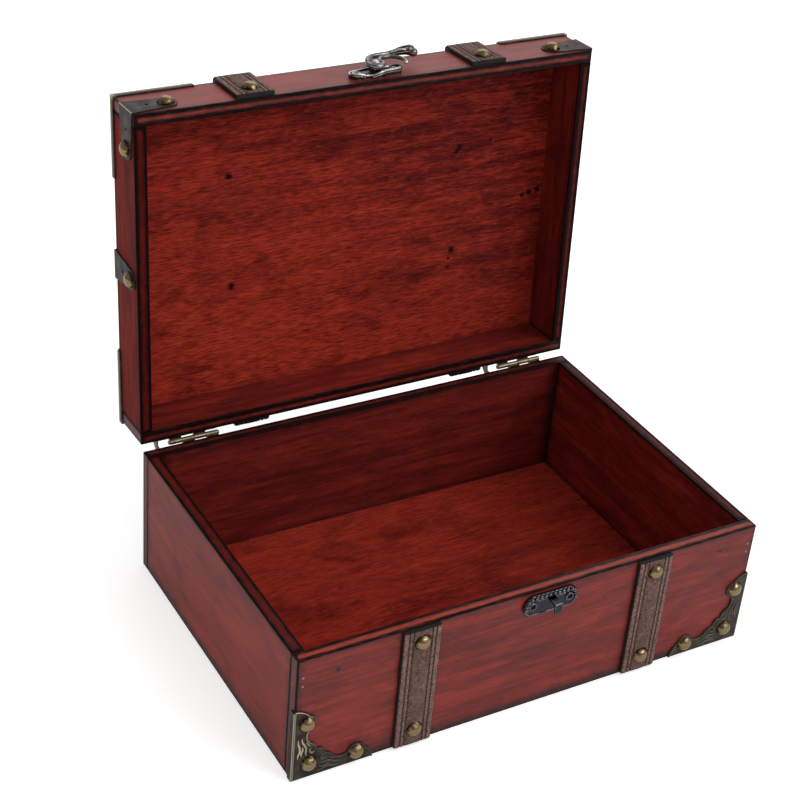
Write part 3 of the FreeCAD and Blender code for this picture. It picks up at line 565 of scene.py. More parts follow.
def edge_painted_leather(straps):
    """Split cowhide with a pebbled face, rubbed brown, its cut edges painted black.

    The eye sees a dull brown with darker creases between the pebbles, lighter leather from the inner seams outwards,
    partly wear and partly painted highlight, black sides and dark stitch holes.
    """
    material, shader, place = start_material("edge_painted_leather")
    tree = place.id_data
    aside = calc("ABSOLUTE", add(tree, "Attribute", {}, out="Fac", attribute_name="across"))
    to_end = add(tree, "Attribute", {}, out="Fac", attribute_name="to_end")
    pebbles = add(tree, "TexVoronoi", {"Vector": place, "Scale": 1 / (0.9 * MM), "Randomness": 1.0},
                  feature="DISTANCE_TO_EDGE")
    wrinkles = noise(place, 1.6, 5, 0.7)
    rubbing = noise(place, 9, 4, 0.6)
    tone = blend(remap(rubbing, 0.36, 0.66, 0.4, 0.0), straps.leather, straps.leather_dark)
    # Painted highlight: the leather from the inner seams outwards is painted lighter, partly as wear.
    ridge_wear_and_highlight = remap(aside, straps.inner_row - 0.5 * MM, straps.inner_row, 0.0, 0.3)
    tone = blend(ridge_wear_and_highlight, tone, straps.leather_worn)
    tone = blend(0.7, tone, remap(wrinkles, 0.33, 0.65), "OVERLAY")
    tone = blend(remap(pebbles, 0.0, 0.14, 0.5, 0.0), tone, straps.leather_dark)

    to_hole = calc("PINGPONG", to_end, straps.stitch_pitch / 2)
    for row in (straps.outer_row, straps.inner_row):
        off_row = calc("ABSOLUTE", calc("SUBTRACT", aside, row))
        groove = remap(off_row, 0.25 * MM, 0.6 * MM, 0.8, 0.0, smooth=True)
        hole = measure("LENGTH", add(tree, "CombineXYZ", {0: off_row, 1: to_hole}))
        hole = remap(hole, 0.45 * MM, 0.8 * MM, 1.0, 0.0, smooth=True)
        tone = blend(calc("MAXIMUM", groove, hole), tone, straps.edge_paint)

    to_cut = calc("MINIMUM", calc("SUBTRACT", straps.width / 2, aside), to_end)
    to_cut = calc("ADD", to_cut, remap(wrinkles, 0.3, 0.7, -0.25 * MM, 0.25 * MM))
    paint = remap(to_cut, 0.2 * MM, 0.75 * MM, 1.0, 0.0, smooth=True)
    grain = calc("ADD", calc("MINIMUM", pebbles, 0.25), calc("MULTIPLY", wrinkles, 0.5))
    plug(shader, {
        "Base Color": blend(paint, tone, straps.edge_paint),
        "Roughness": remap(rubbing, 0.3, 0.7, 0.55, 0.75),
        "Normal": bump(grain, 0.4, 0.3),
        "Specular IOR Level": 0.32,
    })
    return material


def waxed_thread(straps):
    """Waxed polyester thread, twisted: dull brown with a fine slanting twist."""
    material, shader, place = start_material("waxed_thread")
    twist = add(place.id_data, "TexWave", {"Vector": place, "Scale": 0.3 / MM, "Distortion": 1.0}, out="Fac",
                bands_direction="DIAGONAL")
    soil = remap(noise(place, 6, 3), 0.4, 0.7, 0.0, 0.5)
    tone = blend(soil, blend(twist, straps.leather_dark, straps.thread), straps.leather_dark)
    plug(shader, {"Base Color": tone, "Roughness": 0.6, "Normal": bump(twist, 0.5, 0.1)})
    return material


def antique_brass(node, metals, cover):
    """Pressed brass, blackened and then rubbed, with soft dents: a yellow crown, partly rubbed brass and partly
    painted highlight, that darkens to the rim, partly patina and partly painted shade.

    Cover is how thick the piece under the stud is.
    """
    lid = node.startswith("lid")
    material, shader, place = start_material("antique_brass_" + node, lid)
    # Painted highlight and shade: the crown is painted bright and the rim dark, partly rubbed brass and patina.
    patina = remap(noise(place, 2.2, 3, 0.55), 0.3, 0.7, -1.3 * MM, 1.3 * MM)
    rise = calc("ADD", heights_over_box(place, lid)[0], patina)
    rubbed = remap(rise, cover - 0.1 * MM, cover + 2.5 * MM, smooth=True)
    plug(shader, {
        "Base Color": blend(rubbed, metals.brass_patina, metals.brass),
        "Metallic": 1.0,
        "Roughness": remap(rubbed, start=0.4, finish=0.21),
        "Normal": bump(noise(place, 2.6, 1), 0.6, 0.5),
    })
    return material


def worn_bronze(name, metals, ground, wear_and_highlight, lid=False, fold_wear_and_highlight=0.5 * MM, painted_shade_span=None):
    """Pressed steel with a dark bronze plating, bright on its ridges and folds, partly rubbed and partly painted
    highlight, dull and dark between.

    The wear given is the share of brightness on the ridges, and the fold reach how far from a fold the plating fades,
    both partly wear and partly painted highlight. Towards the side where x passes from the first to the second value
    of the span given, the ridges are painted less bright, as painted shade.
    """
    material, shader, place = start_material("worn_bronze_" + name, lid)
    most, next_most = heights_over_box(place, lid)
    specks = noise(place, 0.9, 4, 0.7)
    ridge = remap(most, BRACKET_SHEET + 0.08 * MM, BRACKET_SHEET + 0.4 * MM, smooth=True)
    crest = BRACKET_SHEET - 0.1 * MM
    fold = remap(next_most, crest - fold_wear_and_highlight, crest, 0.0, 0.9, smooth=True)
    # The brightening is partly rubbed plating and partly painted highlight.
    worn = calc("MULTIPLY", calc("MAXIMUM", ridge, fold), remap(specks, 0.3, 0.55, 0.6 * wear_and_highlight, wear_and_highlight))
    # Painted shade: towards that side the ridges are painted less bright.
    if painted_shade_span:
        worn = calc("MULTIPLY", worn, remap(axis_of(place, "X"), *painted_shade_span, 1.0, 0.15))
    worn = calc("MAXIMUM", worn, remap(noise(place, 7, 3), 0.4, 0.75, 0.0, 0.12))
    plug(shader, {
        "Base Color": blend(worn, ground, metals.bronze_worn),
        "Metallic": remap(worn, start=0.65),
        "Roughness": remap(worn, start=0.55, finish=0.32),
        "Normal": bump(specks, 0.3, 0.15),
    })
    return material


def blackened_casting(name, ground, worn, soot_and_shade):
    """Die-cast zinc, blackened and rubbed, with a grainy skin: dark in its hollows, partly blackening and partly
    painted shade, with edges pale, partly worn and partly painted highlight.
    """
    material, shader, place = start_material(name)
    convex = add(place.id_data, "NewGeometry", {}, out="Pointiness")
    patchy = remap(noise(place, 4, 3), 0.3, 0.6, 0.4)
    # Painted highlight: convex edges are painted pale, partly as wear.
    wear_and_highlight = calc("MULTIPLY", remap(convex, 0.503, 0.53, smooth=True), patchy)
    # Painted shade: hollows are painted dark, partly as blackening.
    hollow_blackening_and_shade = remap(convex, 0.44, 0.497, 1.0, 0.0)
    plug(shader, {
        "Base Color": blend(hollow_blackening_and_shade, blend(wear_and_highlight, ground, worn), soot_and_shade),
        "Metallic": 1.0,
        "Roughness": remap(wear_and_highlight, start=0.24, finish=0.15),
        "Normal": bump(noise(place, 0.6, 4, 0.7), 0.25, 0.15),
    })
    return material


def tarnished_metal(name, bright, tarnish, cloud_size):
    """Plated sheet that has tarnished in blotches: satin, with dull darker clouds and fine rolling marks."""
    material, shader, place = start_material(name)
    dull = remap(noise(place, cloud_size, 5, 0.65), 0.46, 0.74)
    plug(shader, {
        "Base Color": blend(dull, bright, tarnish),
        "Metallic": 1.0,
        "Roughness": remap(dull, start=0.3, finish=0.5),
        "Normal": bump(noise(stretched(place, "X", 9, 0.4)), 0.15, 0.1),
    })
    return material


# Straps. The profile gives, in millimetres, the places across a strap and how deep its face dips there.

PROFILE_WIDTH = 22
HALF_PROFILE = [(2.5, -0.08), (4.8, 0.0), (5.3, 0.6), (5.8, 0.0), (7.2, 0.0), (7.7, 0.6), (8.2, 0.0), (9.9, 0.0),
                (10.7, 0.35), (11, 1.0)]
STRAP_PROFILE = [(-across, dip) for across, dip in reversed(HALF_PROFILE)] + [(0, -0.1)] + HALF_PROFILE
THREAD_SUNK = 0.42 * MM
STITCH_MARGIN = 2 * MM
BEND_STITCH = 2.6 * MM
BEND_LIFT = 1.02


def strap_end(straps):
    """A cut end of the strap, flat in the XY plane: its back on the X axis, its grooved face towards -Y."""
    only()
    steps = len(STRAP_PROFILE) - 1
    bpy.ops.mesh.primitive_grid_add(x_subdivisions=steps, y_subdivisions=1, size=1, location=(0, 0, 0))
    end = name_piece(bpy.context.object, "strap_end")
    edit(end)
    bpy.ops.transform.resize(value=(straps.width, straps.thickness, 1))
    bpy.ops.transform.translate(value=(0, -straps.thickness / 2, 0))
    pitch = straps.width / steps
    moves = []
    for step, (across, dip) in enumerate(STRAP_PROFILE):
        even = (step - steps / 2) * pitch
        wanted = across / PROFILE_WIDTH * straps.width
        moves.append((even, wanted - even, dip * MM))
    # A column that has moved is tagged, so that it is not taken again for another one.
    for even, move, dip in moves:
        pick(lambda vertex: abs(vertex.co.x - even) < pitch / 1000 and not vertex.tag)
        bpy.ops.transform.translate(value=(move, 0, 0))
        mesh = bpy.context.object.data
        shape = bmesh.from_edit_mesh(mesh)
        for vertex in shape.verts:
            if vertex.select:
                vertex.tag = True
                vertex.select = vertex.co.y < -straps.thickness / 2
        shape.select_flush(False)
        bmesh.update_edit_mesh(mesh)
        bpy.ops.transform.translate(value=(0, dip, 0))
    leave_edit()
    return end


def push_end(way):
    bpy.ops.mesh.extrude_region_move(TRANSFORM_OT_translate={"value": way})


def round_end(way, pivot):
    """Extrudes the chosen end a little and draws it in, as a cut end that is rubbed round."""
    push_end(way)
    bpy.ops.transform.resize(value=(0.96, 0.9, 0.9), center_override=pivot)


def close_strap(tip, foot):
    """Rounds the end that a strap started from, which comes to its foot, and leaves edit mode."""
    pick(lambda face: face.calc_center_median().z < foot[2] + 1.5 * tip and face.calc_center_median().y < 0
         and abs(face.normal.z) > 0.9, "faces")
    round_end((0, 0, -tip), foot)
    clean_up()
    leave_edit()


def mark_strap(strap, run_of, full_run):
    """Keeps on each point how far it is from the strap's middle line and from its nearer end."""
    mesh = strap.data
    for name, value in (("across", lambda place: place.x),
                        ("to_end", lambda place: min(run_of(place), full_run - run_of(place)))):
        attribute = mesh.attributes.new(name, "FLOAT", "POINT")
        for vertex in mesh.vertices:
            attribute.data[vertex.index].value = value(vertex.co)


def stitch(straps, size):
    """One stitch, a short capsule of thread that lies along Z and slants a little."""
    only()
    radius = straps.thread_radius
    bpy.ops.mesh.primitive_uv_sphere_add(segments=6, ring_count=6, radius=radius, location=(0, 0, 0))
    thread = name_piece(bpy.context.object, "stitch")
    edit(thread)
    half = size / 2 - radius
    for way in (-1, 1):
        pick(lambda vertex: vertex.co.z * way > radius / 10)
        bpy.ops.transform.translate(value=(0, 0, way * half))
    bpy.ops.mesh.select_all(action="SELECT")
    bpy.ops.transform.rotate(value=math.radians(5), orient_axis="Y", center_override=(0, 0, 0))
    leave_edit()
    bpy.ops.object.shade_smooth()
    return thread


def stitch_rows(straps, run):
    """Four rows of stitches for a straight run of strap, centred on the run, which goes along Z."""
    thread = stitch(straps, straps.stitch_length)
    count = int(run / straps.stitch_pitch)
    settle(thread, at(-straps.outer_row, 0, (run - (count - 1) * straps.stitch_pitch) / 2))
    for times, step in ((count, (0, 0, straps.stitch_pitch)),
                        (2, (straps.outer_row - straps.inner_row, 0, 0)),
                        (2, (straps.outer_row + straps.inner_row, 0, 0))):
        repeat(thread, times, step)
    return thread


class STORAGE_BOX_OT_straps(bpy.types.Operator):
    """Make the six leather straps with their stitching"""
    bl_idname = "storage_box.straps"
    bl_label = "Leather straps"

    def execute(self, context):
        straps = context.scene.box_straps
        leather = edge_painted_leather(straps)
        thread = waxed_thread(straps)
        end = strap_end(straps)
        base = {face: self.base_strap(straps, end, face) for face in ("front", "back")}
        lid = self.lid_strap(straps, end)
        turns = {"front": 0, "back": math.pi}
        for side, way in SIDES.items():
            for face, turn in turns.items():
                label = "base_%s_strap_%s" % (face, side)
                place = at(way * STRAP_X, -HALF_DEPTH * math.cos(turn), 0)
                self.hang(base[face], label, place @ Matrix.Rotation(turn, 4, "Z"), "base", leather, thread)
            label = "lid_strap_" + side
            place = LID_OPEN @ at(way * STRAP_X, 0, 0)
            self.hang(lid, label, place, "lid", leather, thread)
        discard(end, *base["front"], *base["back"], *lid)
        return {"FINISHED"}

    def base_strap(self, straps, end, face):
        """The leather and the stitches of a strap on the base's front or back, its own back on the XZ plane."""
        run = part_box("base_%s_strap_left" % face)[1].z - STRAP_FOOT
        tip = straps.end_rounding
        strap = twin(end, "base_strap", at(0, 0, STRAP_FOOT + tip))
        edit(strap)
        for _ in range(2):
            push_end((0, 0, run / 2 - tip))
        round_end((0, 0, tip), (0, 0, STRAP_FOOT + run))
        close_strap(tip, (0, 0, STRAP_FOOT))
        mark_strap(strap, lambda place: place.z - STRAP_FOOT, run)
        rows = stitch_rows(straps, run - 2 * STITCH_MARGIN)
        settle(rows, at(0, -straps.thickness + THREAD_SUNK, STRAP_FOOT + STITCH_MARGIN))
        return strap, rows

    def lid_strap(self, straps, end):
        """The same for a strap that runs up the shut lid's front, over its top and down its back."""
        thick = straps.thickness
        tip = straps.end_rounding
        rise = LID_TOP - LID_STRAP_FOOT
        fold = thick * math.pi / 2
        full = 2 * rise + 2 * fold + 2 * HALF_DEPTH
        strap = twin(end, "lid_strap", at(0, -HALF_DEPTH, LID_STRAP_FOOT + tip))
        edit(strap)
        push_end((0, 0, rise - tip))
        bpy.ops.mesh.spin(steps=8, angle=math.pi / 2, center=(0, -HALF_DEPTH, LID_TOP), axis=(1, 0, 0))
        push_end((0, 2 * HALF_DEPTH, 0))
        bpy.ops.mesh.spin(steps=8, angle=math.pi / 2, center=(0, HALF_DEPTH, LID_TOP), axis=(1, 0, 0))
        push_end((0, 0, tip - rise))
        round_end((0, 0, -tip), (0, HALF_DEPTH, LID_STRAP_FOOT))
        close_strap(tip, (0, -HALF_DEPTH, LID_STRAP_FOOT))

        def run_of(place):
            half = full / 2
            out = abs(place.y) - HALF_DEPTH
            up = place.z - LID_TOP
            way = -1 if place.y < 0 else 1
            if out <= 1e-7 and up >= -1e-7:
                return half + place.y
            if up <= 1e-7:
                return half + way * (HALF_DEPTH + fold - up)
            return half + way * (HALF_DEPTH + math.atan2(out, up) * thick)

        mark_strap(strap, run_of, full)
        sunk = thick - THREAD_SUNK
        quarter = Matrix.Rotation(-math.pi / 2, 4, "X")
        eighth = Matrix.Rotation(-math.pi / 4, 4, "X")
        front = stitch_rows(straps, rise - STITCH_MARGIN)
        back = twin(front, "back_rows", at(0, HALF_DEPTH + sunk, LID_TOP) @ quarter @ quarter)
        settle(front, at(0, -HALF_DEPTH - sunk, LID_STRAP_FOOT + STITCH_MARGIN))
        top = stitch_rows(straps, 2 * HALF_DEPTH)
        settle(top, at(0, -HALF_DEPTH, LID_TOP + sunk) @ quarter)
        rows = [front, top, back]
        for way in (-1, 1):
            bend = stitch(straps, BEND_STITCH)
            settle(bend, at(-straps.outer_row, 0, 0))
            for step in (straps.outer_row - straps.inner_row, straps.outer_row + straps.inner_row):
                repeat(bend, 2, (step, 0, 0))
            reach = sunk * math.sqrt(0.5) * BEND_LIFT
            turn = eighth if way < 0 else eighth @ quarter
            rows.append(settle(bend, at(0, way * (HALF_DEPTH + reach), LID_TOP + reach) @ turn))
        return strap, join(rows, "lid_rows")

    def hang(self, parts, label, place, body, leather, thread):
        strap = twin(parts[0], "leather_" + label, place)
        dress(strap, leather)
        smooth(strap, 50)
        rows = twin(parts[1], "thread_" + label, place)
        dress(rows, thread)
        strap = join([strap, rows], "stitched_" + label)
        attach(strap, body)
        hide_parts(label)


# Corner reliefs, in millimetres from the bracket's corner. Each point of the edge says how far the scallop to the
# next one bows.

BRACKET_LEG = 46
BRACKET_EDGE = ((46, 0, 1), (41, 8.5, 3.8), (31, 8.5, -1.5), (23, 9.5, 0.8), (17.5, 13.5, 1.7), (13.5, 17.5, 0.8),
                (9.5, 23, -1.5), (8.5, 31, 3.8), (8.5, 41, 1), (0, 46, 0))
BRACKET_SCROLLS = (
    ((27.0, 2.4), (24.0, 2.3), (21.5, 3.5), (18.5, 3.6), (16.0, 2.4), (13.8, 2.6)),
    ((27.5, 4.6), (25.0, 4.4), (22.5, 6.0), (19.5, 7.3), (16.5, 6.6), (14.6, 7.6)),
    ((21.6, 4.9), (19.8, 5.4), (18.2, 4.5), (16.2, 4.2), (14.8, 5.1)),
    ((19.6, 9.5), (17.6, 9.0), (15.8, 9.8), (16.0, 11.6), (17.5, 11.7)),
    ((24.0, 7.0), (22.0, 8.0), (20.4, 9.6)),
)


def edge_arc(start, finish, bow, inset, count):
    """Points along one scallop of the bracket, which bows outwards, drawn in from its edge."""
    start, finish = Vector(start), Vector(finish)
    chord = finish - start
    along = chord.normalized()
    outwards = Vector((along.y, -along.x))
    half_angle = 2 * math.atan(2 * bow / chord.length)
    bend = chord.length / 2 / math.sin(half_angle)
    middle = (start + finish) / 2 + outwards * (bow - bend)
    points = []
    for step in range(count):
        turn = half_angle * (2 * step / (count - 1) - 1)
        facing = outwards * math.cos(turn) + along * math.sin(turn)
        points.append(middle + facing * (bend - inset))
    return points


class STORAGE_BOX_OT_corner_reliefs(bpy.types.Operator):
    """Raise the rims, rolls and scrolls on the pressed corners"""
    bl_idname = "storage_box.corner_reliefs"
    bl_label = "Corner reliefs"

    def execute(self, context):
        relief = context.scene.box_relief
        metals = context.scene.box_metals
        # Painted shade: the left base corner's level leg and the whole right base corner are painted less bright; the
        # lid corners' wide fold brightening is partly painted highlight.
        left_corner_shade_span = (4 * MM - HALF_WIDTH, 13 * MM - HALF_WIDTH)
        lid_bronze = worn_bronze("lid", metals, metals.bronze_deep, 0.75, lid=True, fold_wear_and_highlight=3 * MM)
        angle_bronze = worn_bronze("angles", metals, metals.bronze_deep, 0.75, lid=True)
        bronze = {"base_bracket_left": worn_bronze("base_left", metals, metals.bronze_deep, 1.0, painted_shade_span=left_corner_shade_span),
                  "base_bracket_right": worn_bronze("base_right", metals, metals.bronze, 0.15)}
        ornament = self.ornament(relief)
        roll = self.roll(relief)
        legs = (Matrix.Identity(4), Matrix(((0, 1, 0, 0), (1, 0, 0, 0), (0, 0, 1, 0), (0, 0, 0, 1))))
        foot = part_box("base_bracket_left")[0].z
        base_right = at(HALF_WIDTH, -HALF_DEPTH, foot) @ ON_FRONT
        base_left = at(-HALF_WIDTH, -HALF_DEPTH, foot) @ ON_FRONT
        corners = [("base_bracket_left", "base", base_left, (0,)),
                   ("base_bracket_right", "base", base_right @ Matrix.Rotation(math.pi / 2, 4, "Z"), (1,))]
        ends = (("front_left", -1, -1), ("front_right", 1, -1), ("back_right", 1, 1), ("back_left", -1, 1))
        for turns, (name, side, end) in enumerate(ends):
            place = at(side * HALF_WIDTH, end * HALF_DEPTH, LID_TOP)
            place = LID_OPEN @ place @ Matrix.Rotation(turns * math.pi / 2, 4, "Z")
            corners.append(("lid_bracket_" + name, "lid", place, (0, 1)))
        for label, body, place, rolled in corners:
            parts = [twin(ornament, "ornament_" + label, place)]
            for leg in rolled:
                part = twin(roll, "roll_" + label, place @ legs[leg])
                edit(part)
                clean_up()
                leave_edit()
                parts.append(part)
            piece = join(parts, "relief_" + label)
            metal = bronze.get(label, lid_bronze)
            dress(piece, metal)
            smooth(piece, 60)
            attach(piece, body)
            dress(frame["nodes"][label], metal)
        for node in frame["nodes"]:
            if "_angle_" in node and "studs" not in node:
                dress(frame["nodes"][node], angle_bronze)
        discard(ornament, roll)
        return {"FINISHED"}

    def ornament(self, relief):
        """The bead along the scalloped edge and the scrolls of both legs, on the plate's face."""
        face = BRACKET_SHEET
        parts = []
        for start, finish in zip(BRACKET_EDGE, BRACKET_EDGE[1:]):
            points = edge_arc(start[:2], finish[:2], start[2], relief.rim_inset / MM, 7)
            points = [(point.x * MM, point.y * MM, face) for point in points]
            parts.append(rod("rim", points, relief.rim_radius))
        for scroll in BRACKET_SCROLLS:
            last = len(scroll) - 1
            radii = [relief.scroll_radius * (0.25 + 0.75 * math.sin(math.pi * (0.05 + 0.9 * step / last)))
                     for step in range(last + 1)]
            for mirrored in (False, True):
                points = [(v * MM, u * MM, face) if mirrored else (u * MM, v * MM, face) for u, v in scroll]
                parts.append(rod("scroll", points, radii))
        return join(parts, "bracket_ornament")

    def roll(self, relief):
        """The flattened half-round roll along an upright folded edge."""
        inset = relief.roll_radius
        points = [(inset * 0.2, up * MM, 0) for up in (0.2, 10, 23, 36, BRACKET_LEG - 0.6)]
        seat, flatness = 0.75 * MM, 0.6
        bar = rod("bracket_roll", points, inset)
        return settle(bar, at(0, 0, seat) @ Matrix.Diagonal((1, 1, flatness, 1)))


# Latch

def on_arc(centre, radius, start, finish, count, height):
    """Points of an arc in the latch's plane, in metres, from angles in degrees."""
    points = []
    for step in range(count):
        turn = math.radians(start + (finish - start) * step / (count - 1))
        points.append((centre[0] * MM + radius * MM * math.cos(turn), centre[1] * MM + radius * MM * math.sin(turn),
                       height * MM))
    return points


class STORAGE_BOX_OT_latch(bpy.types.Operator):
    """Cast the hook, its plate and the catch plate of the latch"""
    bl_idname = "storage_box.latch"
    bl_label = "Latch"

    def execute(self, context):
        latch = context.scene.box_latch
        metals = context.scene.box_metals
        pewter = blackened_casting("rubbed_pewter", metals.pewter, metals.pewter_worn, metals.brass_patina)
        gunmetal = blackened_casting("dark_gunmetal", metals.gunmetal, metals.gunmetal_worn, metals.brass_patina)
        pivot = LID_SHUT @ Vector(JOINTS["hook_swing"]["pos_m"])
        hook_place = LID_OPEN @ at(pivot.x, -HALF_DEPTH, pivot.z) @ ON_FRONT
        low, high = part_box("catch_plate")
        catch_place = at((low.x + high.x) / 2, -HALF_DEPTH, (low.z + high.z) / 2) @ ON_FRONT
        castings = (("latch_hook", "hook", hook_place, self.hook(latch), pewter),
                    ("hook_plate", "lid", hook_place, self.hook_plate(latch), pewter),
                    ("catch_plate", "base", catch_place, self.catch_plate(latch), gunmetal))
        for label, body, place, piece, metal in castings:
            settle(piece, place)
            dress(piece, metal)
            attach(piece, body)
            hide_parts(label)
        return {"FINISHED"}

    def hook(self, latch):
        """A hub with a rolled rim, a swan neck with a drooping head and a curled prong."""
        level = HOOK_LEVEL
        steps = 12
        prong = on_arc((11, 1), 7.4, 172, -30, steps, level)
        neck = on_arc((8.2, -1.1), 12.1, 160, 90, 7, level + 0.4)
        neck += [mm(x, y, level + z) for x, y, z in (
            (13.5, 10.8, 0.5), (17.5, 10.6, 1.0), (21.5, 10.2, 1.7), (25, 9.6, 2.0), (28, 8.6, 1.4))]
        brow = [mm(x, y, level + z) for x, y, z in (
            (14.5, 9.6, 1.6), (17, 8.6, 2.7), (20, 7.9, 3.4), (22.6, 7.2, 3.0))]
        parts = [
            ring("hub_rim", mm(0, 0, level + 0.2), 4.2 * MM, 1.35 * MM),
            disc("hub", mm(0, 0, level - 0.8), 4.4 * MM, 1.7 * MM),
            rod("prong", prong, mm(*(1.6 - 0.42 * min(1, step / 4) for step in range(steps)))),
            ball("prong_tip", prong[-1], mm(1.28, 1.28, 1.28)),
            rod("neck", neck, mm(1.5, 1.75, 1.9, 1.9, 1.8, 1.7, 1.6, 1.6, 2.0, 2.6, 3.0, 2.5)),
            ball("head", mm(25.8, 9.5, level + 1.8), mm(3.6, 3, 3)),
            ball("nose", mm(27.6, 8, level + 0.8), mm(2.8, 2.7, 2.5)),
            rod("brow", brow, mm(0.5, 0.8, 0.8, 0.5)),
        ]
        hook = cast(parts, "cast_latch_hook", latch.cast_grit)
        bore = disc("bore", (0, 0, 0), 1.68 * MM, 12 * MM)
        modify(hook, "BOOLEAN", object=bore, operation="DIFFERENCE", solver="EXACT")
        discard(bore)
        return hook

    def hook_plate(self, latch):
        """A boat-shaped plate with a lip that rises to a cup, ringed nail holes and the boss under the hook."""
        thick = 1.9
        reach = 11.7
        height = thick + 0.2
        lip = [(15.6, 0), (14.4, 3.2), (11.5, 4.1), (6, 4.6), (0, 5.6), (-6, 4.6), (-11.5, 4.1), (-14.4, 3.2)]
        lip += [(-across, -along) for across, along in lip] + [lip[0]]
        parts = [
            disc("middle", (0, 0, 0), 5.9 * MM, thick * MM),
            disc("boss", (0, 0, 0), 3 * MM, (HOOK_LEVEL - 1.5) * MM),
            block("bar", mm(-reach, -4, 0), mm(reach, 4, thick)),
            rod("lip", [mm(across, along, height) for across, along in lip], 0.7 * MM),
        ]
        cup = ((-4, -5, 2), (-1.5, -5.6, 2.8), (1, -5.7, 3.6), (6, -4.7, 3.7), (11.5, -4.1, 3.7), (14.4, -3, 3.7),
               (15.4, 0, 3.7), (14.4, 3, 3.4), (11.5, 4, 2.6))
        curl = ((-8.5, -4.4, 2.3), (-11.5, -4, 3.1), (-14, -3.2, 3.2), (-15.2, -1, 2.6))
        for name, points in (("cup", cup), ("curl", curl)):
            for sunk in (0, 1):
                parts.append(rod(name, [mm(x, y, z - sunk) for x, y, z in points], 0.75 * MM))
        for way in (-1, 1):
            parts.append(disc("end", mm(way * reach, 0, 0), 4.2 * MM, thick * MM))
            parts.append(ring("hole_rim", mm(way * reach, 0, height), latch.ring_radius, 0.65 * MM))
        return cast(parts, "cast_hook_plate", latch.cast_grit)

    def catch_plate(self, latch):
        """A round-ended plate with a raised rim, a beaded upper edge and the keeper bent out of its middle."""
        thick = 1.35
        reach = 10.15
        edge = 6.0
        rim = on_arc((reach, 0), edge, -90, 90, 9, thick) + on_arc((-reach, 0), edge, 90, 270, 9, thick)
        parts = [
            block("bar", mm(-reach, -6.5, 0), mm(reach, 6.5, thick)),
            block("keeper_wall", mm(-2.2, 2.15, 0), mm(2.2, 3.35, 8.6)),
            block("keeper_lip", mm(-2.2, -2.6, 7.7), mm(2.2, 3.1, 8.8)),
            ball("keeper_tip", mm(0, -2.2, 8.3), mm(2.3, 1.2, 0.8)),
            rod("rim", rim + rim[:1], 0.55 * MM),
        ]
        beads = int(2 * reach * MM / latch.bead_pitch)
        bead_line = 5.1
        raised = thick + 0.5
        places = [((number - beads / 2) * latch.bead_pitch, bead_line * MM, raised * MM)
                  for number in range(beads + 1)]
        places += on_arc((reach, 0), bead_line, 65, -10, 4, raised)
        places += on_arc((-reach, 0), bead_line, 115, 190, 4, raised)
        parts += [ball("bead", place, (latch.bead_radius,) * 3) for place in places]
        for way in (-1, 1):
            ridge = [mm(way * x, 3.1, thick + 0.2) for x in (2.6, 5, 8.5)]
            parts.append(disc("end", mm(way * reach, 0, 0), 6.5 * MM, thick * MM))
            parts.append(ring("hole_rim", mm(way * 11.35, 0, thick + 0.45), latch.ring_radius, 0.65 * MM))
            parts.append(rod("ridge", ridge, 0.6 * MM))
        return cast(parts, "cast_catch_plate", latch.cast_grit)


# Finishes of the pieces that stay as the CAD made them. Marks are where they are on the shut box, with their radius.

LID_INSIDE = 105.3
KNOTS = [((x, y, LID_INSIDE), radius) for x, y, radius in (
    (-75.0, -43.2, 2.2), (70.4, -35.9, 1.7), (72.0, -38.4, 2.0), (93.1, -39.0, 1.1), (-73.2, 23.9, 1.9),
    (71.1, 27.5, 2.1), (69.5, 33.2, 1.1), (69.6, 39.0, 1.1), (119.0, 0.0, 1.8), (123.6, -1.2, 1.9),
    (129.4, -2.2, 2.1))]
# Depth paints shade on a whole board, or light where it is below nought; a panel's way and height paint light on its
# inside face.
BOARD_LOOKS = {
    "base_front_board": {"depth": -0.1, "rub": 0.7, "marks": [((-117.4, -97, 65.3), 1.0), ((117.2, -97, 67), 1.0)]},
    "base_back_board": {"depth": 0.25},
    "base_left_board": {"depth": -0.3, "rub": -0.7, "sheen": 0.7, "marks": [((-140, 77.9, 63.7), 1.0)]},
    "base_right_board": {"depth": 0.1, "sheen": 0.35},
    "base_bottom_panel": {"coarse": 0.7, "sheen": 0.25, "painted_light": (-2.0, 8.0, 0, 1.5)},
    "lid_front_board": {"depth": -0.45, "sheen": 1.15},
    "lid_left_board": {"depth": 0.3, "rub": -0.5, "sheen": 0.05},
    "lid_right_board": {"depth": 0.4, "sheen": 0.2},
    "lid_top_panel": {"coarse": 1.0, "sheen": 0.25, "painted_light": (-5.5, 10.5, 0, 106.5), "marks": KNOTS},
}


class STORAGE_BOX_OT_finishes(bpy.types.Operator):
    """Stain the boards and finish the studs, hinges and nails"""
    bl_idname = "storage_box.finishes"
    bl_label = "Finishes"

    def execute(self, context):
        metals = context.scene.box_metals
        hinge = tarnished_metal("tarnished_hinge_brass", metals.hinge, metals.hinge_tarnish, 7)
        steel = tarnished_metal("bright_steel", metals.steel, metals.hinge_tarnish, 2)
        rivet = tarnished_metal("rubbed_rivet", metals.pewter_worn, metals.pewter, 2)
        dark = tarnished_metal("blackened_tacks", metals.bronze_deep, metals.brass_patina, 1)
        for node, piece in frame["nodes"].items():
            if node.endswith(("_board", "_panel")):
                dress(piece, stained_plywood(node, context.scene.box_wood, **BOARD_LOOKS.get(node, {})))
            elif node.endswith("_studs"):
                cover = context.scene.box_straps.thickness if "strap" in node else BRACKET_SHEET
                dress(piece, antique_brass(node, metals, cover))
            elif "hinge" in node:
                dress(piece, hinge)
            elif node == "hook_rivet":
                dress(piece, rivet)
            elif node.endswith("_brads"):
                dress(piece, steel)
            elif node.endswith("_tacks"):
                dress(piece, dark)
        return {"FINISHED"}


# Stage, with the camera where the photograph was taken

FLOOR_SIZE = 14
CAMERA_PLACE = (-0.45828, -0.68151, 0.64909)
CAMERA_AIM = (-0.035882, 0, 0.144267)
CAMERA_ROLL = 5.16
SENSOR_WIDTH = 36


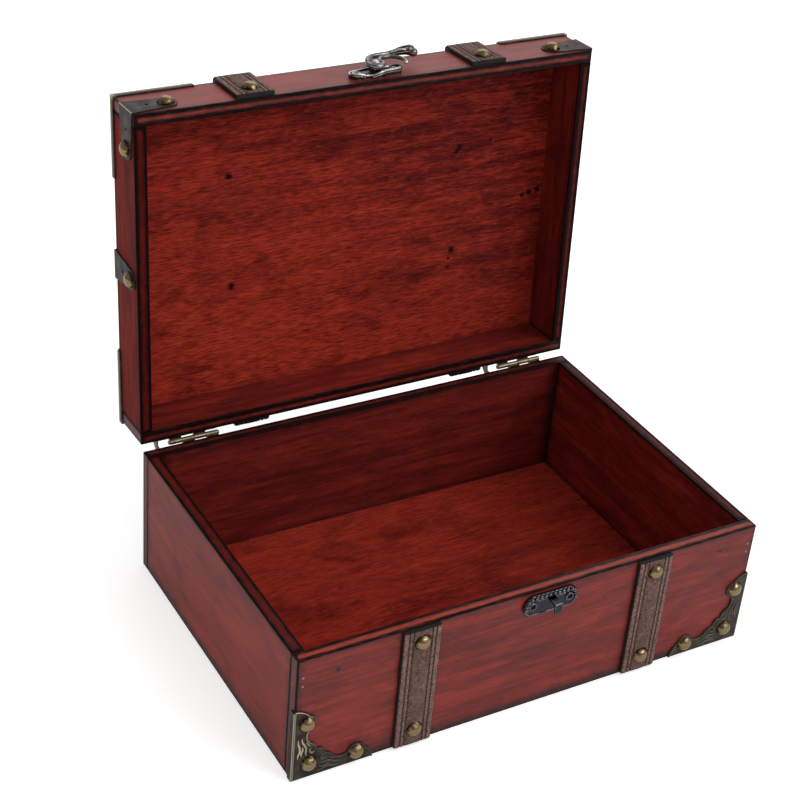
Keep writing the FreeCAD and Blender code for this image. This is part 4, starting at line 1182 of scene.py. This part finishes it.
class STORAGE_BOX_OT_stage(bpy.types.Operator):
    """Set up the pale floor, the soft light and the camera"""
    bl_idname = "storage_box.stage"
    bl_label = "Stage"

    def execute(self, context):
        stage = context.scene.box_stage
        only()
        bpy.ops.mesh.primitive_plane_add(size=FLOOR_SIZE, location=(0, 0, 0))
        floor = name_piece(bpy.context.object, "floor")
        dress(floor, self.floor_paper(stage))
        self.world(context.scene, stage)
        self.sun("key_light", stage.key, turn=(48, 0, 60), spread=50)
        self.sun("spark_light", stage.spark, turn=(50, 0, 30), spread=14)
        self.camera(context.scene, stage)
        context.scene.view_settings.view_transform = "Standard"
        return {"FINISHED"}

    def floor_paper(self, stage):
        """Matt white paper: even and without gloss, lifted to white for the camera so that its shadow stays soft."""
        material, shader, place = start_material("matt_white_paper")
        fibre = remap(noise(place, 2), finish=0.02)
        seen = add(place.id_data, "LightPath", {}, out="Is Camera Ray")
        plug(shader, {
            "Base Color": blend(fibre, stage.floor, linear("#f0f0f0")),
            "Roughness": 1.0,
            "Specular IOR Level": 0.0,
            "Emission Color": linear("#ffffff"),
            "Emission Strength": calc("MULTIPLY", seen, stage.floor_lift),
        })
        return material

    def world(self, scene, stage):
        """Even white light and a white background, and in reflections a dim room with two softboxes."""
        scene.world = bpy.data.worlds.new("white_studio")
        scene.world.use_nodes = True
        tree = scene.world.node_tree
        path = add(tree, "LightPath", {}, out=None)
        seen = calc("MAXIMUM", path["Is Camera Ray"], path["Is Transmission Ray"])
        way = add(tree, "TexCoord", {}, out="Generated")
        room = stage.room
        for aim, glow in (((0.43, -0.64, 0.64), stage.front_box), ((0.45, 0.72, 0.53), stage.back_box)):
            facing = measure("DOT_PRODUCT", way, Vector(aim).normalized())
            room = calc("ADD", room, remap(facing, 0.8, 0.93, 0.0, glow, smooth=True))
        light = choose(path["Is Glossy Ray"], remap(seen, start=stage.ambient), room)
        plug(tree.nodes["Background"], {"Color": linear("#ffffff"), "Strength": light})

    def sun(self, name, strength, turn, spread):
        only()
        bpy.ops.object.light_add(type="SUN", location=(0, 0, 1), rotation=[math.radians(part) for part in turn])
        lamp = name_piece(bpy.context.object, name)
        lamp.data.energy = strength
        lamp.data.angle = math.radians(spread)

    def camera(self, scene, stage):
        only()
        bpy.ops.object.camera_add(location=CAMERA_PLACE)
        camera = name_piece(bpy.context.object, "photo_camera")
        aim = Vector(CAMERA_AIM) - camera.location
        camera.rotation_mode = "QUATERNION"
        roll = Quaternion((0, 0, 1), math.radians(CAMERA_ROLL))
        camera.rotation_quaternion = aim.to_track_quat("-Z", "Y") @ roll
        camera.data.sensor_width = SENSOR_WIDTH
        camera.data.lens = stage.lens / MM
        camera.data.clip_start = 0.01
        scene.camera = camera


# Panel and registration

GROUPS = {"box_straps": StrapSettings, "box_relief": ReliefSettings, "box_latch": LatchSettings,
          "box_wood": WoodSettings, "box_metals": MetalSettings, "box_stage": StageSettings}
OPERATORS = (STORAGE_BOX_OT_straps, STORAGE_BOX_OT_corner_reliefs, STORAGE_BOX_OT_latch, STORAGE_BOX_OT_finishes,
             STORAGE_BOX_OT_stage)


class STORAGE_BOX_PT_panel(bpy.types.Panel):
    """Lists the box's pieces with their settings"""
    bl_idname = "STORAGE_BOX_PT_panel"
    bl_label = "Storage box"
    bl_space_type = "VIEW_3D"
    bl_region_type = "UI"
    bl_category = "Storage box"

    def draw(self, context):
        for operator in OPERATORS:
            self.layout.operator(operator.bl_idname)
        for name, group in GROUPS.items():
            box = self.layout.box()
            for setting in group.__annotations__:
                box.prop(getattr(context.scene, name), setting)


def register():
    for group in GROUPS.values():
        bpy.utils.register_class(group)
    for operator in OPERATORS:
        bpy.utils.register_class(operator)
    bpy.utils.register_class(STORAGE_BOX_PT_panel)
    for name, group in GROUPS.items():
        setattr(bpy.types.Scene, name, PointerProperty(type=group))


def unregister():
    for name in GROUPS:
        delattr(bpy.types.Scene, name)
    bpy.utils.unregister_class(STORAGE_BOX_PT_panel)
    for operator in reversed(OPERATORS):
        bpy.utils.unregister_class(operator)
    for group in reversed(list(GROUPS.values())):
        bpy.utils.unregister_class(group)


def main():
    register()
    bpy.ops.storage_box.straps()
    bpy.ops.storage_box.corner_reliefs()
    bpy.ops.storage_box.latch()
    bpy.ops.storage_box.finishes()
    bpy.ops.storage_box.stage()


if __name__ == "__main__":
    main()
